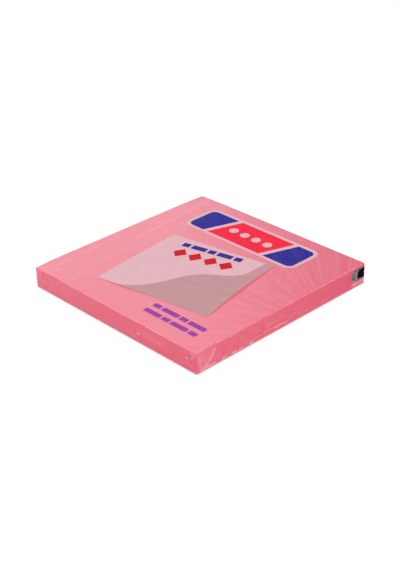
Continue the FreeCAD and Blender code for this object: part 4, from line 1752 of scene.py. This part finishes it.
@dataclass
class Studio:
    """A white floor, soft light from all round, five soft lamps, and the camera."""

    # The camera, fitted to the corners of the top square in the photo
    azimuth: float = 46.75
    elevation: float = 29.2
    roll: float = -1.5
    distance: float = 0.390
    focal_pixels: float = 1186.0
    frame_pixels: float = 570.0
    sensor: float = 36.0
    lowering: float = 0.6
    floor_half: float = 4.0
    # The tent's wall behind the pad, and how its glow falls off along it and above the floor
    wall_distance: float = 1.2
    wall_half: float = 2.5
    wall_height: float = 3.0
    wall_fall: Point = (-0.03, 0.22)
    wall_glow: Point = (0.92, 0.2)
    wall_dusk: Point = (0.3, 0.5)
    dusk: float = 0.05
    # The floor as mirrors see it, as light bounces off it, and as the eye sees it, with a painted contact
    # shadow where ambient occlusion dims its glow
    floor_fall: Point = (0.02, 0.09)
    floor_tone: Point = (0.75, 0.15)
    floor_bounce: str = "#EAEAEA"
    floor_shade: str = "#A0A0A0"
    contact: float = 0.00025
    contact_samples: int = 16
    contact_range: Point = (0.4, 0.8)
    contact_glow: Point = (0.1, 0.75)
    floor_drop: float = 0.00002
    white: str = "#FFFFFF"
    sky_colour: str = "#FFFDFB"
    sky: float = 0.66
    clip_start: float = 0.01
    lamps: tuple[Lamp, ...] = (
        Lamp("key", 50.0, 42.0, 0.8, 0.45, 1.1),
        Lamp("left_rim", -52.5, 36.7, 0.8, 0.3, 1.0),
        Lamp("right_rim", 140.8, 39.5, 0.8, 0.3, 1.0),
        Lamp("left_low", -40.0, 6.5, 0.8, 0.16, 0.4),
        Lamp("right_low", 127.0, 6.5, 0.8, 0.16, 0.4),
    )

    @staticmethod
    def direction(azimuth: float, elevation: float) -> Vector:
        """Unit vector towards an azimuth, 0 at the reader's side and 90 at the right, and an elevation.

        Args:
            azimuth: Degrees.
            elevation: Degrees.

        Returns:
            The vector.
        """
        a, e = math.radians(azimuth), math.radians(elevation)
        return Vector((math.sin(a) * math.cos(e), -math.cos(a) * math.cos(e), math.sin(e)))

    def camera(self) -> None:
        """Place the camera at the photograph's angle, rolled a little, looking at the pad's foot."""
        back = self.direction(self.azimuth, self.elevation)
        level = self.direction(self.azimuth + 90.0, 0.0)
        steep = back.cross(level)
        turn = math.radians(self.roll)
        right = math.cos(turn) * level + math.sin(turn) * steep
        up = back.cross(right)
        data = bpy.data.cameras.new("camera")
        data.sensor_width = self.sensor
        data.lens = self.focal_pixels * self.sensor / self.frame_pixels
        data.clip_start = self.clip_start
        made = bpy.data.objects.new("camera", data)
        place = back * self.distance - up * (self.lowering * self.distance / self.focal_pixels)
        made.matrix_world = Matrix.Translation(place) @ Matrix((right, up, back)).transposed().to_4x4()
        bpy.context.scene.collection.objects.link(made)
        bpy.context.scene.camera = made

    def seen(self, tree: bpy.types.NodeTree, *kinds: str) -> bpy.types.NodeSocket:
        """Share that is 1 for rays of the given kinds, and 0 for all others.

        Args:
            tree: Node tree to add it to.
            kinds: Names of a Light Path's outputs.

        Returns:
            The share's output.
        """
        path = add_node(tree, "ShaderNodeLightPath")
        share = path.outputs[kinds[0]]
        for kind in kinds[1:]:
            inputs = {0: share, 1: path.outputs[kind]}
            share = add_node(tree, "ShaderNodeMath", inputs, operation="MAXIMUM").outputs[0]
        return share

    def world(self) -> None:
        """A white world for the eye, and a plain level of light from all round."""
        world = bpy.data.worlds.new("studio")
        world.use_nodes = True
        tree = world.node_tree
        tree.nodes.clear()
        white = add_node(tree, "ShaderNodeBackground", {"Color": colour(self.white), "Strength": 1.0})
        sky = {"Color": colour(self.sky_colour), "Strength": self.sky}
        light = add_node(tree, "ShaderNodeBackground", sky)
        eyes = self.seen(tree, "Is Camera Ray", "Is Glossy Ray", "Is Transmission Ray")
        both = add_node(tree, "ShaderNodeMixShader", {0: eyes, 1: light.outputs[0], 2: white.outputs[0]})
        add_node(tree, "ShaderNodeOutputWorld", {"Surface": both.outputs[0]})
        bpy.context.scene.world = world

    def falling(
        self, tree: bpy.types.NodeTree, way: Vector, taken: Point, given: Point
    ) -> bpy.types.NodeSocket:
        """A level that changes with the distance along a way, in metres of object coordinates.

        Args:
            tree: Node tree to add it to.
            way: Unit vector along which it changes.
            taken: Distances between which it changes.
            given: The level at both.

        Returns:
            The level's output.
        """
        place = add_node(tree, "ShaderNodeTexCoord").outputs["Object"]
        dot = add_node(tree, "ShaderNodeVectorMath", {0: place, 1: way}, operation="DOT_PRODUCT")
        return ranged(tree, dot.outputs["Value"], taken, given)

    def wall(self) -> None:
        """A wall of the light tent behind the pad, bright at the top left, which only mirrors see."""
        material, tree = new_material("tent_wall")
        along = self.direction(self.azimuth + 90.0, 0.0)
        across = self.falling(tree, along, self.wall_fall, self.wall_glow)
        upwards = self.falling(tree, Vector((0.0, 0.0, 1.0)), self.wall_dusk, (self.dusk, 1.0))
        level = add_node(tree, "ShaderNodeMath", {0: across, 1: upwards}, operation="MULTIPLY")
        lit = {"Color": colour(self.white), "Strength": level.outputs[0]}
        glow = add_node(tree, "ShaderNodeEmission", lit)
        add_node(tree, "ShaderNodeOutputMaterial", {"Surface": glow.outputs[0]})
        back = -self.direction(self.azimuth, 0.0) * self.wall_distance
        ends = [back + along * reach for reach in (-self.wall_half, self.wall_half)]
        lows = [np.array(end) / MM for end in ends]
        rise = np.array([0.0, 0.0, self.wall_height / MM])
        corners = np.array([lows[1], lows[0], lows[0] + rise, lows[1] + rise])
        wall = make_object("tent_wall", corners, [[0, 1, 2, 3]], [material])
        wall.visible_camera = wall.visible_diffuse = wall.visible_shadow = False
        wall.visible_transmission = False

    def floor(self) -> None:
        """A white floor that goes over into the background and keeps a faint shadow; next to the pad ambient
        occlusion dims its glow, a painted contact shadow.
        """
        material, tree = new_material("white_floor")
        bounce = add_node(tree, "ShaderNodeBsdfDiffuse", {"Color": colour(self.floor_bounce)})
        shade = add_node(tree, "ShaderNodeBsdfDiffuse", {"Color": colour(self.floor_shade)})
        # painted contact shadow: ambient occlusion dims the floor's glow next to the pad
        open_sky = add_node(
            tree, "ShaderNodeAmbientOcclusion", {"Distance": self.contact}, samples=self.contact_samples
        )
        level = ranged(tree, open_sky.outputs["AO"], self.contact_range, self.contact_glow)
        glow = add_node(tree, "ShaderNodeEmission", {"Color": colour(self.white), "Strength": level})
        eye = add_node(tree, "ShaderNodeAddShader", {0: shade.outputs[0], 1: glow.outputs[0]})
        across = self.direction(self.azimuth + 90.0, 0.0)
        tone = self.falling(tree, across, self.floor_fall, self.floor_tone)
        mirrored = add_node(tree, "ShaderNodeBsdfDiffuse", {"Color": tone})
        mirrors = self.seen(tree, "Is Glossy Ray")
        sides = {0: mirrors, 1: bounce.outputs[0], 2: mirrored.outputs[0]}
        lit = add_node(tree, "ShaderNodeMixShader", sides)
        eyes = self.seen(tree, "Is Camera Ray", "Is Transmission Ray")
        whole = add_node(tree, "ShaderNodeMixShader", {0: eyes, 1: lit.outputs[0], 2: eye.outputs[0]})
        add_node(tree, "ShaderNodeOutputMaterial", {"Surface": whole.outputs[0]})
        half, low = self.floor_half / MM, -self.floor_drop / MM
        corners = np.array([(x, y, low) for x, y in bar(-half, -half, 2 * half, 2 * half)])
        make_object("floor", corners, [[0, 1, 2, 3]], [material])

    def light(self) -> None:
        """Hang the lamps, each turned to the pad."""
        for lamp in self.lamps:
            data = bpy.data.lights.new(lamp.name, "AREA")
            data.shape, data.size, data.energy = "SQUARE", lamp.size, lamp.power
            made = bpy.data.objects.new(lamp.name, data)
            towards = self.direction(lamp.azimuth, lamp.elevation)
            made.location = towards * lamp.distance
            made.rotation_mode = "QUATERNION"
            made.rotation_quaternion = towards.to_track_quat("Z", "Y")
            bpy.context.scene.collection.objects.link(made)

    def build(self) -> None:
        """Set up the whole studio."""
        bpy.context.scene.view_settings.view_transform = "Standard"
        self.camera()
        self.world()
        self.wall()
        self.floor()
        self.light()
        log.info("studio: %d lamps", len(self.lamps))


def main() -> None:
    """Build the pad from the inside out, print it, and set up the studio."""
    logging.basicConfig(level=logging.INFO, format="%(name)s %(message)s")
    _, block_high = box_mm("note_block")
    _, film_high = box_mm("film_wrap")
    form = FilmForm(half=block_high[0] + FILM_OUTSET, top=film_high[2] - RIDGE_ROOM)
    NoteStack(form).build()
    ReleaseSheet().build()
    ShrinkFilm(form).build()
    printer = Print(form)
    picture = CurledSheet(printer)
    picture.build()
    TitleRows(printer, picture.far_left).build()
    NoteBars(printer).build()
    Banner(printer).build()
    CornerPrint(printer).build()
    Studio().build()


if __name__ == "__main__":
    main()
